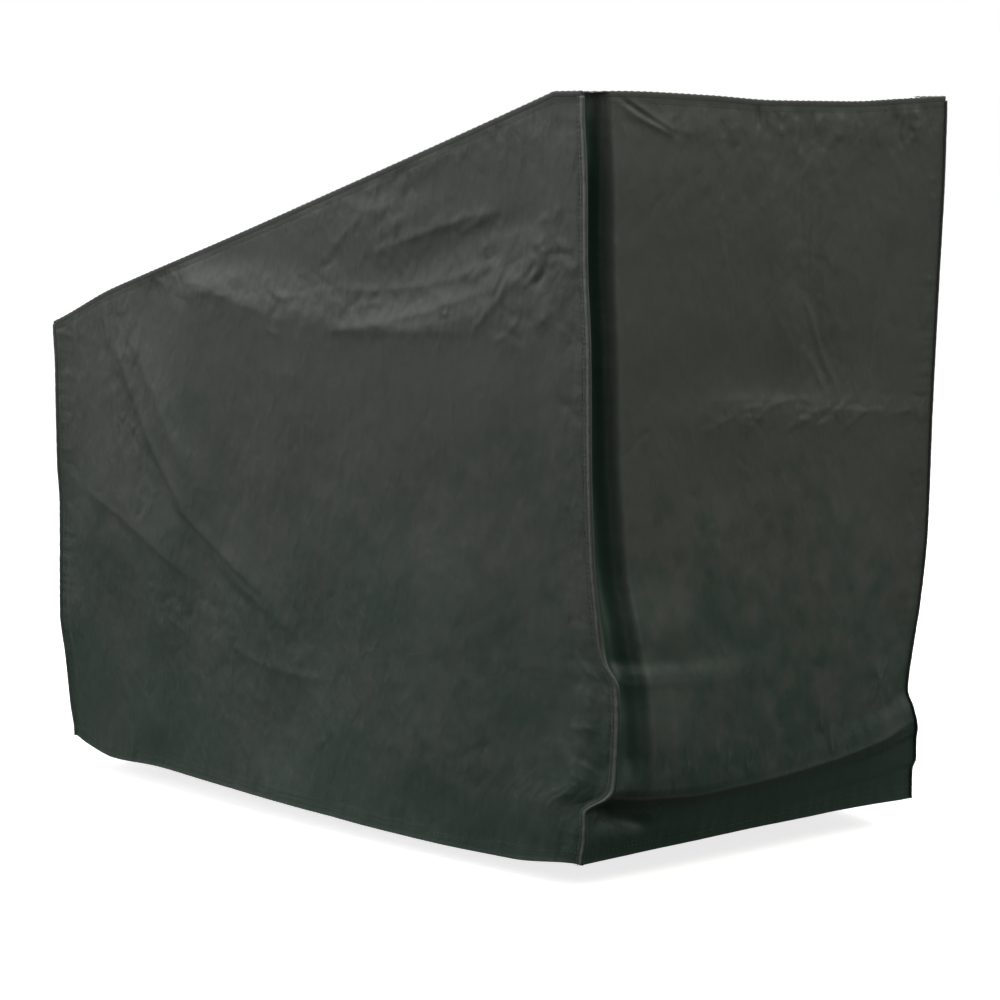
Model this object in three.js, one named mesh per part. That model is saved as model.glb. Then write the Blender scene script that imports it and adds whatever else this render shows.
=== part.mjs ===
import * as THREE from 'three';

// Fitted cloth cover that hangs as a hollow five-panel box, open below: tall at the front, +X,
// with a top that slopes down to a low rear. Millimetres, +Z up. The near side faces -Y.
// Heights count up from the level of an even hem, and "back" counts rearwards from the front panel.

const LENGTH = 1300;
const WIDTH = 730;
const FRONT_HEIGHT = 1061;
const REAR_HEIGHT = 697;
const FLAT_TOP = 60;
const CLOTH = 2;
const GAP = 0.3;
const SEAM_WIDTH = 8;
const SEAM_PROUD = 2.5;
const SEAM_OVERHANG = 2;

// Share of a seam's height on its edge, middle and inner lines
const SEAM_PROFILE = [0.6, 1, 0.5];

// Room between the end of an upright seam and the sloping seam above it.
const SEAM_END_GAP = 1;

// The part's origin lies under the level stretch of the top, at mid width.
const ORIGIN_BACK = 30;
const ORIGIN_HEIGHT = 1050;

// How far from a seam the cloth stays flat, and how far from it the folds have their full height.
const SEAM_FLAT = 12;
const SEAM_SOFT = 70;

// How far back the side panels follow the bends of the corner seams. Across the front and rear panels the
// bends die away with this power of the distance, but evenly at the top edge, where the top panel lies.
const CORNER_REACH = 450;
const CORNER_FADE = 4;

// Share of a fold's length over which it dies away at each end, and the steps its curve is cut into.
const FOLD_TAPER = 0.3;
const FOLD_STEPS = 10;

// Sideways flare of the side panels at the hem, and the height where it has died away.
const HEM_FLARE = 22;
const FLARE_HEIGHT = 620;

// Grid lines: each row of a table runs on from the one before it, in equal steps.
const BACK_LINES = gridLines([
  { until: SEAM_WIDTH, steps: 2 },
  { until: 120, steps: 4 },
  { until: 900, steps: 13 },
  { until: LENGTH - SEAM_WIDTH, steps: 7 },
  { until: LENGTH, steps: 2 },
]);
const ACROSS_LINES = gridLines([
  { until: 64, steps: 4 },
  { until: 640, steps: 12 },
  { until: WIDTH, steps: 3 },
]);
const TUCK_LINES = gridLines([
  { until: 0.78, steps: 3 },
  { until: 1, steps: 2 },
]);
const WALL_LINES = gridLines([
  { until: 0.25, steps: 6 },
  { until: 0.6, steps: 4 },
  { until: 1, steps: 8 },
]);

// Crown of the long top edge over a straight slope.
const SLOPE_CROWN = [
  { back: 0, lift: 0 },
  { back: 300, lift: 2 },
  { back: 760, lift: 6 },
  { back: 1130, lift: 11 },
  { back: LENGTH, lift: 0 },
];

// Corner seams: where each stands forward of its plan corner and in towards the middle of the cover.
const NEAR_FRONT_CORNER = [
  { height: -6, forward: -8, inward: 4 },
  { height: 35, forward: 0, inward: 3 },
  { height: 68, forward: -1, inward: 4 },
  { height: 80, forward: 24, inward: 5 },
  { height: 92, forward: 50, inward: 6 },
  { height: 108, forward: 61, inward: 7 },
  { height: 150, forward: 64, inward: 8 },
  { height: 172, forward: 58, inward: 8 },
  { height: 196, forward: 44, inward: 8 },
  { height: 216, forward: 33, inward: 7 },
  { height: 250, forward: 26, inward: 6 },
  { height: 320, forward: 18, inward: 4 },
  { height: 425, forward: 13, inward: 2 },
  { height: 560, forward: 10, inward: 0 },
  { height: 710, forward: 8, inward: 0 },
  { height: 830, forward: 1, inward: 0 },
  { height: FRONT_HEIGHT, forward: -2, inward: 0 },
];
const FAR_FRONT_CORNER = [
  { height: 0, forward: -6, inward: 52 },
  { height: 45, forward: -6, inward: 51 },
  { height: 60, forward: -5, inward: 44 },
  { height: 92, forward: -4, inward: 45 },
  { height: 108, forward: 3, inward: 50 },
  { height: 124, forward: 8, inward: 58 },
  { height: 145, forward: 6, inward: 64 },
  { height: 170, forward: 0, inward: 70 },
  { height: 230, forward: 0, inward: 60 },
  { height: 305, forward: 0, inward: 44 },
  { height: 410, forward: 0, inward: 30 },
  { height: 590, forward: 0, inward: 23 },
  { height: 770, forward: 0, inward: 13 },
  { height: 960, forward: 0, inward: 2 },
  { height: FRONT_HEIGHT, forward: 0, inward: 0 },
];
const NEAR_REAR_CORNER = [
  { height: 5, forward: 30, inward: 6 },
  { height: 60, forward: 18, inward: 6 },
  { height: 140, forward: 8, inward: 4 },
  { height: 210, forward: -3, inward: 2 },
  { height: 400, forward: -1, inward: 3 },
  { height: 460, forward: -5, inward: 2 },
  { height: 620, forward: -4, inward: 0 },
  { height: REAR_HEIGHT, forward: -9, inward: 0 },
];
const FAR_REAR_CORNER = [
  { height: 4, forward: 24, inward: 16 },
  { height: 90, forward: 14, inward: 12 },
  { height: 220, forward: 2, inward: 5 },
  { height: 380, forward: -5, inward: 4 },
  { height: 520, forward: -2, inward: 1 },
  { height: REAR_HEIGHT, forward: -6, inward: 0 },
];

// Hem and tuck line of the side panels. Below the tuck line the cloth turns in to the hem.
const NEAR_HEM = [
  { back: 0, height: -6 },
  { back: 140, height: -18 },
  { back: 300, height: -20 },
  { back: 640, height: -15 },
  { back: 1000, height: -8 },
  { back: 1160, height: -14 },
  { back: 1250, height: -3 },
  { back: LENGTH, height: 5 },
];
const FAR_HEM = [
  { back: 0, height: 0 },
  { back: 220, height: -11 },
  { back: 520, height: -17 },
  { back: 800, height: -9 },
  { back: 1050, height: -13 },
  { back: LENGTH, height: 4 },
];
const NEAR_TUCK = [
  { back: 0, height: 92 },
  { back: 180, height: 88 },
  { back: LENGTH, height: 62 },
];
const FAR_TUCK = [
  { back: 0, height: 124 },
  { back: 200, height: 100 },
  { back: LENGTH, height: 60 },
];

// Front and rear edges between two corners: how far each sags below a straight line.
const FRONT_EDGES = [
  { across: 0, top: 0, tuck: 0, hem: 0 },
  { across: 80, top: -1, tuck: 11, hem: -1 },
  { across: 235, top: 3, tuck: 27, hem: -4 },
  { across: 375, top: 9, tuck: 29, hem: -5 },
  { across: 520, top: 9, tuck: 25, hem: -4 },
  { across: 640, top: 4, tuck: 16, hem: -2 },
  { across: WIDTH, top: 0, tuck: 0, hem: 0 },
];
const REAR_EDGES = [
  { across: 0, top: 0, tuck: 0, hem: 0 },
  { across: 190, top: 4, tuck: 6, hem: 9 },
  { across: 400, top: 7, tuck: 2, hem: 5 },
  { across: 580, top: 3, tuck: 7, hem: 10 },
  { across: WIDTH, top: 0, tuck: 0, hem: 0 },
];

// How far the front and rear panels stand forward between their corners, at heights above the tuck line
const FRONT_SWELL = [
  { aboveTuck: -110, forward: -8 },
  { aboveTuck: -60, forward: 4 },
  { aboveTuck: -14, forward: 21 },
  { aboveTuck: 0, forward: 27 },
  { aboveTuck: 16, forward: 28 },
  { aboveTuck: 60, forward: 28 },
  { aboveTuck: 160, forward: 21 },
  { aboveTuck: 280, forward: 11 },
  { aboveTuck: 420, forward: 4 },
  { aboveTuck: 580, forward: 0 },
];
const REAR_SWELL = [
  { aboveTuck: -60, forward: 27 },
  { aboveTuck: 0, forward: 16 },
  { aboveTuck: 80, forward: 8 },
  { aboveTuck: 150, forward: 0 },
  { aboveTuck: 400, forward: -2 },
  { aboveTuck: 640, forward: -7 },
];

// Folds: a soft ridge, or a trough where its rise is negative, along a curve through three places.
// A place is [back, height] on a side, [across, height] on the front and rear, [back, across] on top.
// "half" is its half width, and "leftHalf" that on the left of its run, where the two sides differ.
const NEAR_FOLDS = [
  { from: [1010, 806], via: [760, 742], to: [490, 716], half: 48, rise: 9, leftHalf: 320 },
  { from: [610, 716], via: [300, 730], to: [20, 862], half: 46, rise: 8, leftHalf: 260 },
  { from: [1165, 745], via: [1050, 555], to: [840, 345], half: 70, rise: 1.5, leftHalf: 14 },
  { from: [930, 400], via: [790, 315], to: [620, 245], half: 60, rise: 1.5, leftHalf: 14 },
  { from: [800, 400], via: [985, 540], to: [1105, 745], half: 150, rise: 4, leftHalf: 44 },
  { from: [1270, 425], via: [1090, 358], to: [880, 262], half: 150, rise: 7, leftHalf: 90 },
  { from: [420, 800], via: [220, 864], to: [40, 905], half: 24, rise: -1.6 },
  { from: [560, 905], via: [460, 892], to: [370, 915], half: 26, rise: 3, leftHalf: 70 },
  { from: [440, 905], via: [370, 935], to: [290, 970], half: 24, rise: -2 },
  { from: [80, 40], via: [45, 160], to: [15, 300], half: 34, rise: 4 },
  { from: [330, 10], via: [300, 220], to: [330, 470], half: 80, rise: 4 },
  { from: [700, -10], via: [640, 160], to: [560, 380], half: 85, rise: -4 },
  { from: [1010, -10], via: [1000, 140], to: [960, 300], half: 70, rise: 4 },
];
const FAR_FOLDS = [
  { from: [430, 762], via: [760, 752], to: [1020, 790], half: 200, rise: 6, leftHalf: 50 },
  { from: [30, 850], via: [260, 772], to: [520, 758], half: 180, rise: 6, leftHalf: 50 },
  { from: [1130, 735], via: [1020, 520], to: [900, 300], half: 30, rise: -4 },
  { from: [1210, 700], via: [1150, 500], to: [1100, 320], half: 60, rise: 5 },
  { from: [200, 940], via: [140, 700], to: [190, 420], half: 46, rise: 4 },
  { from: [60, 60], via: [50, 180], to: [40, 330], half: 36, rise: 5 },
  { from: [430, 0], via: [410, 190], to: [440, 420], half: 80, rise: 5 },
  { from: [700, 0], via: [720, 170], to: [690, 360], half: 70, rise: -5 },
  { from: [980, -10], via: [960, 150], to: [900, 310], half: 70, rise: 5 },
];
const FRONT_FOLDS = [
  { from: [20, 1300], via: [24, 700], to: [30, 60], half: 18, rise: -30 },
  { from: [130, 1052], via: [225, 1030], to: [330, 1040], half: 30, rise: 3 },
  { from: [417, 1010], via: [440, 810], to: [525, 610], half: 26, rise: -2 },
  { from: [372, 980], via: [395, 790], to: [455, 620], half: 38, rise: 2.5 },
  { from: [636, 890], via: [598, 750], to: [575, 600], half: 26, rise: -2 },
  { from: [190, 626], via: [450, 598], to: [728, 592], half: 110, rise: 2.6, leftHalf: 24 },
  { from: [150, 690], via: [440, 664], to: [700, 660], half: 50, rise: -2 },
  { from: [250, 520], via: [240, 330], to: [270, 160], half: 80, rise: 4 },
  { from: [560, 520], via: [520, 330], to: [560, 170], half: 70, rise: 4 },
  { from: [690, 560], via: [660, 350], to: [690, 190], half: 40, rise: -4 },
  { from: [20, 66], via: [60, 52], to: [150, 40], half: 14, rise: -8 },
];
const REAR_FOLDS = [
  { from: [170, 690], via: [205, 380], to: [165, -60], half: 56, rise: 8 },
  { from: [380, 670], via: [355, 360], to: [400, -60], half: 62, rise: -8 },
  { from: [560, 690], via: [590, 350], to: [560, -60], half: 56, rise: 8 },
  { from: [700, 368], via: [365, 356], to: [30, 372], half: 26, rise: 4, leftHalf: 120 },
  { from: [60, 690], via: [150, 560], to: [330, 470], half: 28, rise: -4 },
  { from: [690, 680], via: [600, 540], to: [430, 455], half: 28, rise: -4 },
];
const TOP_FOLDS = [
  { from: [800, 365], via: [940, 365], to: [1090, 365], half: 120, rise: 18 },
  { from: [1000, 60], via: [930, 200], to: [820, 340], half: 34, rise: 6 },
  { from: [1010, 670], via: [930, 520], to: [830, 400], half: 34, rise: 6 },
  { from: [560, 40], via: [600, 365], to: [570, 690], half: 80, rise: -10 },
  { from: [260, 40], via: [300, 365], to: [250, 690], half: 70, rise: -8 },
  { from: [90, 160], via: [240, 150], to: [420, 230], half: 40, rise: 6 },
  { from: [90, 570], via: [230, 590], to: [430, 520], half: 40, rise: 6 },
  { from: [1180, 90], via: [1200, 365], to: [1180, 640], half: 46, rise: -6 },
];

const NEAR_SIDE = {
  sign: -1,
  frontCorner: NEAR_FRONT_CORNER,
  rearCorner: NEAR_REAR_CORNER,
  hem: NEAR_HEM,
  tuck: NEAR_TUCK,
  folds: NEAR_FOLDS,
};
const FAR_SIDE = {
  sign: 1,
  frontCorner: FAR_FRONT_CORNER,
  rearCorner: FAR_REAR_CORNER,
  hem: FAR_HEM,
  tuck: FAR_TUCK,
  folds: FAR_FOLDS,
};
const FRONT_END = {
  outward: 1,
  edges: FRONT_EDGES,
  swell: FRONT_SWELL,
  folds: FRONT_FOLDS,
};
const REAR_END = {
  outward: -1,
  edges: REAR_EDGES,
  swell: REAR_SWELL,
  folds: REAR_FOLDS,
};

// Places of the grid lines that a table of spans describes, from zero on
function gridLines(spans) {
  const lines = [0];
  for (const { until, steps } of spans) {
    const start = lines.at(-1);
    for (let step = 1; step <= steps; step += 1) {
      lines.push(start + ((until - start) * step) / steps);
    }
  }
  return lines;
}

// One column of a table, read between its rows as a smooth curve that never overshoots a row
function readTable(table, placeName, valueName, place) {
  const places = table.map((row) => row[placeName]);
  const values = table.map((row) => row[valueName]);
  const at = THREE.MathUtils.clamp(place, places[0], places.at(-1));
  const high = Math.max(1, places.findIndex((rowPlace) => rowPlace >= at));
  const low = high - 1;
  const slope = (row) => (values[row + 1] - values[row]) / (places[row + 1] - places[row]) || 0;
  const tangent = (row) => {
    const before = slope(row - 1);
    const after = slope(row);
    return before * after > 0 ? (2 * before * after) / (before + after) : 0;
  };
  const span = places[high] - places[low];
  const share = (at - places[low]) / span;
  const rest = 1 - share;
  return (
    values[low] * rest * rest * (1 + 2 * share) +
    values[high] * share * share * (1 + 2 * rest) +
    tangent(low) * span * share * rest * rest -
    tangent(high) * span * share * share * rest
  );
}

// The curve of a fold through its three places, cut into short straight pieces
function foldLine({ from, via, to }) {
  const [start, middle, end] = [from, via, to].map((place) => new THREE.Vector2(...place));
  const control = middle.multiplyScalar(2).addScaledVector(start, -0.5).addScaledVector(end, -0.5);
  return new THREE.QuadraticBezierCurve(start, control, end).getPoints(FOLD_STEPS);
}

// Distance from a place to a fold's curve, the share of the curve at the nearest point, and whether
// the place is on the left of it
function nearestOnFold(line, place) {
  let nearest = { distance: Infinity, along: 0, left: false };
  for (let piece = 0; piece < FOLD_STEPS; piece += 1) {
    const run = line[piece + 1].clone().sub(line[piece]);
    const offset = place.clone().sub(line[piece]);
    const share = THREE.MathUtils.clamp(offset.dot(run) / run.lengthSq(), 0, 1);
    const distance = line[piece].clone().addScaledVector(run, share).distanceTo(place);
    if (distance < nearest.distance) {
      nearest = { distance, along: (piece + share) / FOLD_STEPS, left: run.cross(offset) > 0 };
    }
  }
  return nearest;
}

// How far the folds of a table push the cloth out at a place on its panel
function foldRise(folds, ...coordinates) {
  const place = new THREE.Vector2(...coordinates);
  let rise = 0;
  for (const fold of folds) {
    const { distance, along, left } = nearestOnFold(foldLine(fold), place);
    const half = (left && fold.leftHalf) || fold.half;
    const taper = THREE.MathUtils.smoothstep(Math.min(along, 1 - along), 0, FOLD_TAPER);
    rise += fold.rise * taper * Math.exp(-((distance / half) ** 2));
  }
  return rise;
}

// Share of a fold's height that is left at given distances from the panel's seams
function seamCalm(...distances) {
  return distances.reduce((share, distance) => (
    share * THREE.MathUtils.smoothstep(distance, SEAM_FLAT, SEAM_SOFT)
  ), 1);
}

// Height of the long top edge of a side panel
function topEdge(back) {
  const slopeShare = Math.max(0, back - FLAT_TOP) / (LENGTH - FLAT_TOP);
  const straight = THREE.MathUtils.lerp(FRONT_HEIGHT, REAR_HEIGHT, slopeShare);
  return straight + readTable(SLOPE_CROWN, 'back', 'lift', back);
}

// Heights of the grid rows from a hem over its tuck line to the top edge and its seam
function rowHeights(hem, tuck, top) {
  const seamFoot = top - SEAM_WIDTH;
  return [
    ...TUCK_LINES.map((share) => THREE.MathUtils.lerp(hem, tuck, share)),
    ...WALL_LINES.slice(1).map((share) => THREE.MathUtils.lerp(tuck, seamFoot, share)),
    top - SEAM_WIDTH / 2,
    top,
  ];
}

// Share of a corner seam's bends that a side panel follows at a distance from it
function cornerShare(distance) {
  return Math.max(0, 1 - distance / CORNER_REACH) ** 2;
}

// A point of a side panel's outer face
function sidePoint(side, back, height, top) {
  const bend = (name) => (
    cornerShare(back) * readTable(side.frontCorner, 'height', name, height) +
    cornerShare(LENGTH - back) * readTable(side.rearCorner, 'height', name, height)
  );
  const flareShare = Math.sin((Math.PI * back) / LENGTH) * Math.max(0, 1 - height / FLARE_HEIGHT) ** 2;
  const calm = seamCalm(back, LENGTH - back, top - height);
  const outward = HEM_FLARE * flareShare + calm * foldRise(side.folds, back, height);
  const across = WIDTH / 2 - bend('inward') + outward;
  return new THREE.Vector3(bend('forward') - back, side.sign * across, height);
}

// Outer face of a side panel, as columns of points from the front to the rear
function sideGrid(side) {
  return BACK_LINES.map((back) => {
    const top = topEdge(back);
    const hem = readTable(side.hem, 'back', 'height', back);
    const tuck = readTable(side.tuck, 'back', 'height', back);
    return rowHeights(hem, tuck, top).map((height) => sidePoint(side, back, height, top));
  });
}

// A point between two panel edges, set in from both of them by the cloth that it meets there
function between(near, far, share) {
  const inset = CLOTH + GAP;
  const start = near.clone().add(new THREE.Vector3(0, inset, 0));
  const end = far.clone().add(new THREE.Vector3(0, -inset, 0));
  return start.lerp(end, share);
}

// Outer face of the front or rear panel between the end columns of the two sides, at "back"
function endGrid(nearColumn, farColumn, end, back) {
  const [hemRow, tuckRow, topRow] = [0, TUCK_LINES.length - 1, nearColumn.length - 1];
  return ACROSS_LINES.map((across) => {
    const share = across / WIDTH;
    const sagging = (row, name) => (
      between(nearColumn[row], farColumn[row], share).z - readTable(end.edges, 'across', name, across)
    );
    const tuck = sagging(tuckRow, 'tuck');
    const top = sagging(topRow, 'top') - CLOTH - GAP;
    return rowHeights(sagging(hemRow, 'hem'), tuck, top).map((height, row) => {
      const point = between(nearColumn[row], farColumn[row], share);
      const belowTop = THREE.MathUtils.smoothstep(top - height, SEAM_FLAT, CORNER_REACH);
      const power = THREE.MathUtils.lerp(1, CORNER_FADE, belowTop);
      const nearShare = (1 - share) ** power;
      const farShare = share ** power;
      const nearBend = nearShare * (nearColumn[row].x + back);
      const farBend = farShare * (farColumn[row].x + back);
      const swell = readTable(end.swell, 'aboveTuck', 'forward', height - tuck);
      const edgeCalm = THREE.MathUtils.smoothstep(Math.min(across, WIDTH - across), 0, SEAM_FLAT);
      const folds = edgeCalm * seamCalm(top - height) * foldRise(end.folds, across, height);
      point.x = nearBend + farBend + (1 - nearShare - farShare) * swell + end.outward * folds - back;
      point.z = height;
      return point;
    });
  });
}

// Outer face of the top panel between the top rows of the two sides
function topGrid(nearGrid, farGrid) {
  return BACK_LINES.map((back, column) => ACROSS_LINES.map((across) => {
    const point = between(nearGrid[column].at(-1), farGrid[column].at(-1), across / WIDTH);
    const frontSag = readTable(FRONT_EDGES, 'across', 'top', across);
    const rearSag = readTable(REAR_EDGES, 'across', 'top', across);
    const calm = seamCalm(back, LENGTH - back, across, WIDTH - across);
    point.z -= THREE.MathUtils.lerp(frontSag, rearSag, back / LENGTH);
    point.z += calm * foldRise(TOP_FOLDS, back, across);
    return point;
  }));
}

// A closed body between two grids of points that have the same lines
function slab(faceA, faceB) {
  const columns = faceA.length;
  const rows = faceA[0].length;
  const [lastColumn, lastRow] = [columns - 1, rows - 1];
  const positions = [...faceA.flat(), ...faceB.flat()].flatMap((point) => point.toArray());
  const indices = [];
  const quad = (a, b, c, d) => indices.push(a, b, c, a, c, d);
  const onA = (column, row) => column * rows + row;
  const onB = (column, row) => columns * rows + onA(column, row);
  for (let column = 0; column < lastColumn; column += 1) {
    const next = column + 1;
    for (let row = 0; row < lastRow; row += 1) {
      quad(onA(column, row), onA(next, row), onA(next, row + 1), onA(column, row + 1));
      quad(onB(column, row), onB(column, row + 1), onB(next, row + 1), onB(next, row));
    }
    quad(onA(next, 0), onA(column, 0), onB(column, 0), onB(next, 0));
    quad(onA(column, lastRow), onA(next, lastRow), onB(next, lastRow), onB(column, lastRow));
  }
  for (let row = 0; row < lastRow; row += 1) {
    const next = row + 1;
    quad(onA(0, row), onA(0, next), onB(0, next), onB(0, row));
    quad(onA(lastColumn, next), onA(lastColumn, row), onB(lastColumn, row), onB(lastColumn, next));
  }
  return facingOut(positions, indices);
}

// A geometry from triangles that all face one way, turned round if they face in
function facingOut(positions, indices) {
  const corner = (index) => new THREE.Vector3().fromArray(positions, 3 * index);
  let volume = 0;
  for (let at = 0; at < indices.length; at += 3) {
    const [a, b, c] = indices.slice(at, at + 3).map(corner);
    volume += a.dot(b.cross(c));
  }
  const geometry = new THREE.BufferGeometry();
  geometry.setAttribute('position', new THREE.Float32BufferAttribute(positions, 3));
  geometry.setIndex(volume > 0 ? indices : indices.toReversed());
  geometry.computeVertexNormals();
  return geometry;
}

// A cloth panel: its outer face and the same face one cloth thickness further in
function panelSheet(grid, inward) {
  const step = new THREE.Vector3(...inward).multiplyScalar(CLOTH);
  return slab(grid, grid.map((column) => column.map((point) => point.clone().add(step))));
}

// The front panel's inner face is set back square to the steep turn under its tuck line.
function frontSheet(grid) {
  const inner = grid.map((column) => column.map((point, row) => {
    const below = column[Math.max(0, row - 1)];
    const above = column[Math.min(column.length - 1, row + 1)];
    const level = row === column.length - 1;
    const back = new THREE.Vector3(below.z - above.z, 0, level ? 0 : above.x - below.x);
    return point.clone().addScaledVector(back.normalize(), CLOTH);
  }));
  return slab(grid, inner);
}

// A raised seam on three neighbouring grid lines of a panel. "edge" points off the panel at the first line.
function seamBead(lines, outward, edge) {
  const out = new THREE.Vector3(...outward);
  const overhang = new THREE.Vector3(...edge).multiplyScalar(SEAM_OVERHANG);
  const foot = lines.map((line, index) => line.map((point) => {
    const lifted = point.clone().addScaledVector(out, GAP);
    return index === 0 ? lifted.add(overhang) : lifted;
  }));
  const crest = foot.map((line, index) => (
    line.map((point) => point.clone().addScaledVector(out, SEAM_PROUD * SEAM_PROFILE[index]))
  ));
  return slab(foot, crest);
}

// Three grid lines along a corner, from the hem to just under the seam of the top edge
function cornerLines(grid, columns) {
  return columns.map((index) => {
    const line = grid.at(index).slice(0, -2).map((point) => point.clone());
    const step = line.at(-2).clone().sub(line.at(-1)).setLength(SEAM_END_GAP);
    line.at(-1).add(step);
    return line;
  });
}

// Three grid lines along a panel's top edge
function topLines(grid) {
  return [-1, -2, -3].map((row) => grid.map((column) => column.at(row)));
}

function piece(name, geometry, material) {
  const mesh = new THREE.Mesh(geometry, material);
  mesh.name = name;
  return mesh;
}

const coatedCloth = new THREE.MeshStandardMaterial({ color: '#414845', roughness: 0.55, metalness: 0 });
const seamCloth = new THREE.MeshStandardMaterial({ color: '#4c5552', roughness: 0.5, metalness: 0 });

const near = sideGrid(NEAR_SIDE);
const far = sideGrid(FAR_SIDE);
const front = endGrid(near[0], far[0], FRONT_END, 0);
const rear = endGrid(near.at(-1), far.at(-1), REAR_END, LENGTH);
const top = topGrid(near, far);

const FRONT_COLUMNS = [0, 1, 2];
const REAR_COLUMNS = [-1, -2, -3];

const cover = new THREE.Group();
cover.position.set(ORIGIN_BACK, 0, -ORIGIN_HEIGHT);
cover.add(
  piece('near_side_panel', panelSheet(near, [0, 1, 0]), coatedCloth),
  piece('far_side_panel', panelSheet(far, [0, -1, 0]), coatedCloth),
  piece('front_panel', frontSheet(front), coatedCloth),
  piece('rear_panel', panelSheet(rear, [1, 0, 0]), coatedCloth),
  piece('top_panel', panelSheet(top, [0, 0, -1]), coatedCloth),
  piece('near_front_seam', seamBead(cornerLines(near, FRONT_COLUMNS), [0, -1, 0], [1, 0, 0]), seamCloth),
  piece('far_front_seam', seamBead(cornerLines(far, FRONT_COLUMNS), [0, 1, 0], [1, 0, 0]), seamCloth),
  piece('near_rear_seam', seamBead(cornerLines(near, REAR_COLUMNS), [0, -1, 0], [-1, 0, 0]), seamCloth),
  piece('far_rear_seam', seamBead(cornerLines(far, REAR_COLUMNS), [0, 1, 0], [-1, 0, 0]), seamCloth),
  piece('near_top_seam', seamBead(topLines(near), [0, -1, 0], [0, 0, 1]), seamCloth),
  piece('far_top_seam', seamBead(topLines(far), [0, 1, 0], [0, 0, 1]), seamCloth),
  piece('front_top_seam', seamBead(topLines(front), [1, 0, 0], [0, 0, 1]), seamCloth),
  piece('rear_top_seam', seamBead(topLines(rear), [-1, 0, 0], [0, 0, 1]), seamCloth),
);

export default cover;
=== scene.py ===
"""A fitted cover of coated cloth, hung as a hollow box open below: panels, seams, hems and stitches."""

import math
from collections import namedtuple

import bpy
import numpy as np
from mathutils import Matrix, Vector


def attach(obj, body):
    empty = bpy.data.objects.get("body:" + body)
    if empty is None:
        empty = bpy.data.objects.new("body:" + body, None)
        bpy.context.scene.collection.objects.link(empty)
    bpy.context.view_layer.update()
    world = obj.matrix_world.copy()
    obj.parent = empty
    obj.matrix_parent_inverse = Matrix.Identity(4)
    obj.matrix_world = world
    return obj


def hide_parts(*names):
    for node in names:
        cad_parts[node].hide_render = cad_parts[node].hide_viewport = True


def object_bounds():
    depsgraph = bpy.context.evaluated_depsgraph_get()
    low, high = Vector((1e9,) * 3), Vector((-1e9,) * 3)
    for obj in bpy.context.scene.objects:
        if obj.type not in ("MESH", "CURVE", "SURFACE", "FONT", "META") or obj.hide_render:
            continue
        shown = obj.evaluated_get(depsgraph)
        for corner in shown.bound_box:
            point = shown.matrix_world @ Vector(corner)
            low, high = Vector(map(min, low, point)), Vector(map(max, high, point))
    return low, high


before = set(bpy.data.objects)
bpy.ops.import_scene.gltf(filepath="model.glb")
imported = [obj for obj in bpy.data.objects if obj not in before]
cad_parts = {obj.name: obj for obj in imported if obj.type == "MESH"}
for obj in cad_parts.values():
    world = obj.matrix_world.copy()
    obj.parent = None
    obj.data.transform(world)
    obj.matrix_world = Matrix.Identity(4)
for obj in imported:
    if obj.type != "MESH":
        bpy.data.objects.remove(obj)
cad_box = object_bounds()

# The script works in millimetres. Heights count up from the level of an even hem, "back" counts rearwards
# from the front panel, "across" from the near side to the far side, and the near side faces -Y.
MM = 0.001
LENGTH = 1300
WIDTH = 730
FRONT_HEIGHT = 1061
REAR_HEIGHT = 697
FLAT_TOP = 60
ORIGIN_BACK = 30
ORIGIN_HEIGHT = 1050
CLOTH = 1.2

# Main folds keep clear of the seams: flat this near them, and full this far from them.
SEAM_FLAT = 12
SEAM_SOFT = 70
CREASE_FLAT = 2
CREASE_SOFT = 24
CORNER_REACH = 450
CORNER_FADE = 4
HEM_FLARE = 22
FLARE_HEIGHT = 620
TUCK_LEVEL = 0.1

FOLD_TAPER = 0.3
FOLD_STEPS = 10
CREASE_TIP = 1.6
LEAST_HALF = 4.4
LENGTH_SHARES = (0.5, 1.5)
BOW_SHARE = 0.15
RISE_SHARES = (0.4, 1.3)
HALF_SHARES = (0.04, 0.1)
CRUMPLE_REACH = 1.5

# Seams and hems
SEAM_STATION = 3.5
SEAM_END = 4
SEAM_STITCH = 14
FELL_STITCH = 8
SEAM_RIPPLE = 0.12
RIPPLE_LENGTHS = (13, 23, 47)
STITCH_SIZES = (0.8, 1.15)
THREAD_PROUD = {FELL_STITCH: 0.8, SEAM_STITCH: 0.2}
GROOVE_HALF = 2.6
# Rub wear and a painted highlight on proud seam beads, painted brighter between these heights
RUB_HIGHLIGHT_PROUD = 3.3
LOW_RUB_HIGHLIGHT_SHARE = 0.4
RUB_HIGHLIGHT_HEIGHTS = (420, 960)
GATHER_RISE = 0.6
GATHER_REACH = 20
GATHER_LENGTHS = (17, 29, 53)
SCALLOP_PITCH = 12
SCALLOP_RISE = 0.9
HEM_BAND = 20
HEM_PROUD = 0.3
HEM_ROLL = 0.5
HEM_STITCH = 16
HEM_ROW_END = 8
HEM_THREAD_PROUD = 0.3
HEM_GROOVE = 0.2
HEM_RIPPLE = 0.5
HEM_RIPPLE_REACH = 22
HEM_RIPPLE_LENGTHS = (27, 44, 83)
TUCK_CREST_HALF = 4.4
TUCK_CREST_FADE = 60
GROUND_RISE = 0.2917
GROUND_LENGTHS = (150, 190, 240, 300, 380, 460)
INNER_STEP = 3
FULL_CREST = 0.3

Fold = namedtuple("Fold", "start via end half rise left_half", defaults=[None])
Crumple = namedtuple("Crumple", "centre spread creases length direction turn rise")
Side = namedtuple("Side", "sign front_corner rear_corner hem tuck folds creases crumples seed scattered")
End = namedtuple("End", "back outward edges swell pleat tuck_crest folds creases crumples seed scattered")
Top = namedtuple("Top", "folds creases crumples seed scattered")
SeamEdge = namedtuple("SeamEdge", "distance along groove")
SeamRun = namedtuple("SeamRun", "place stations out edge profile stitches")
Lamp = namedtuple("Lamp", "name place aim spread size power colour")


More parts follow.
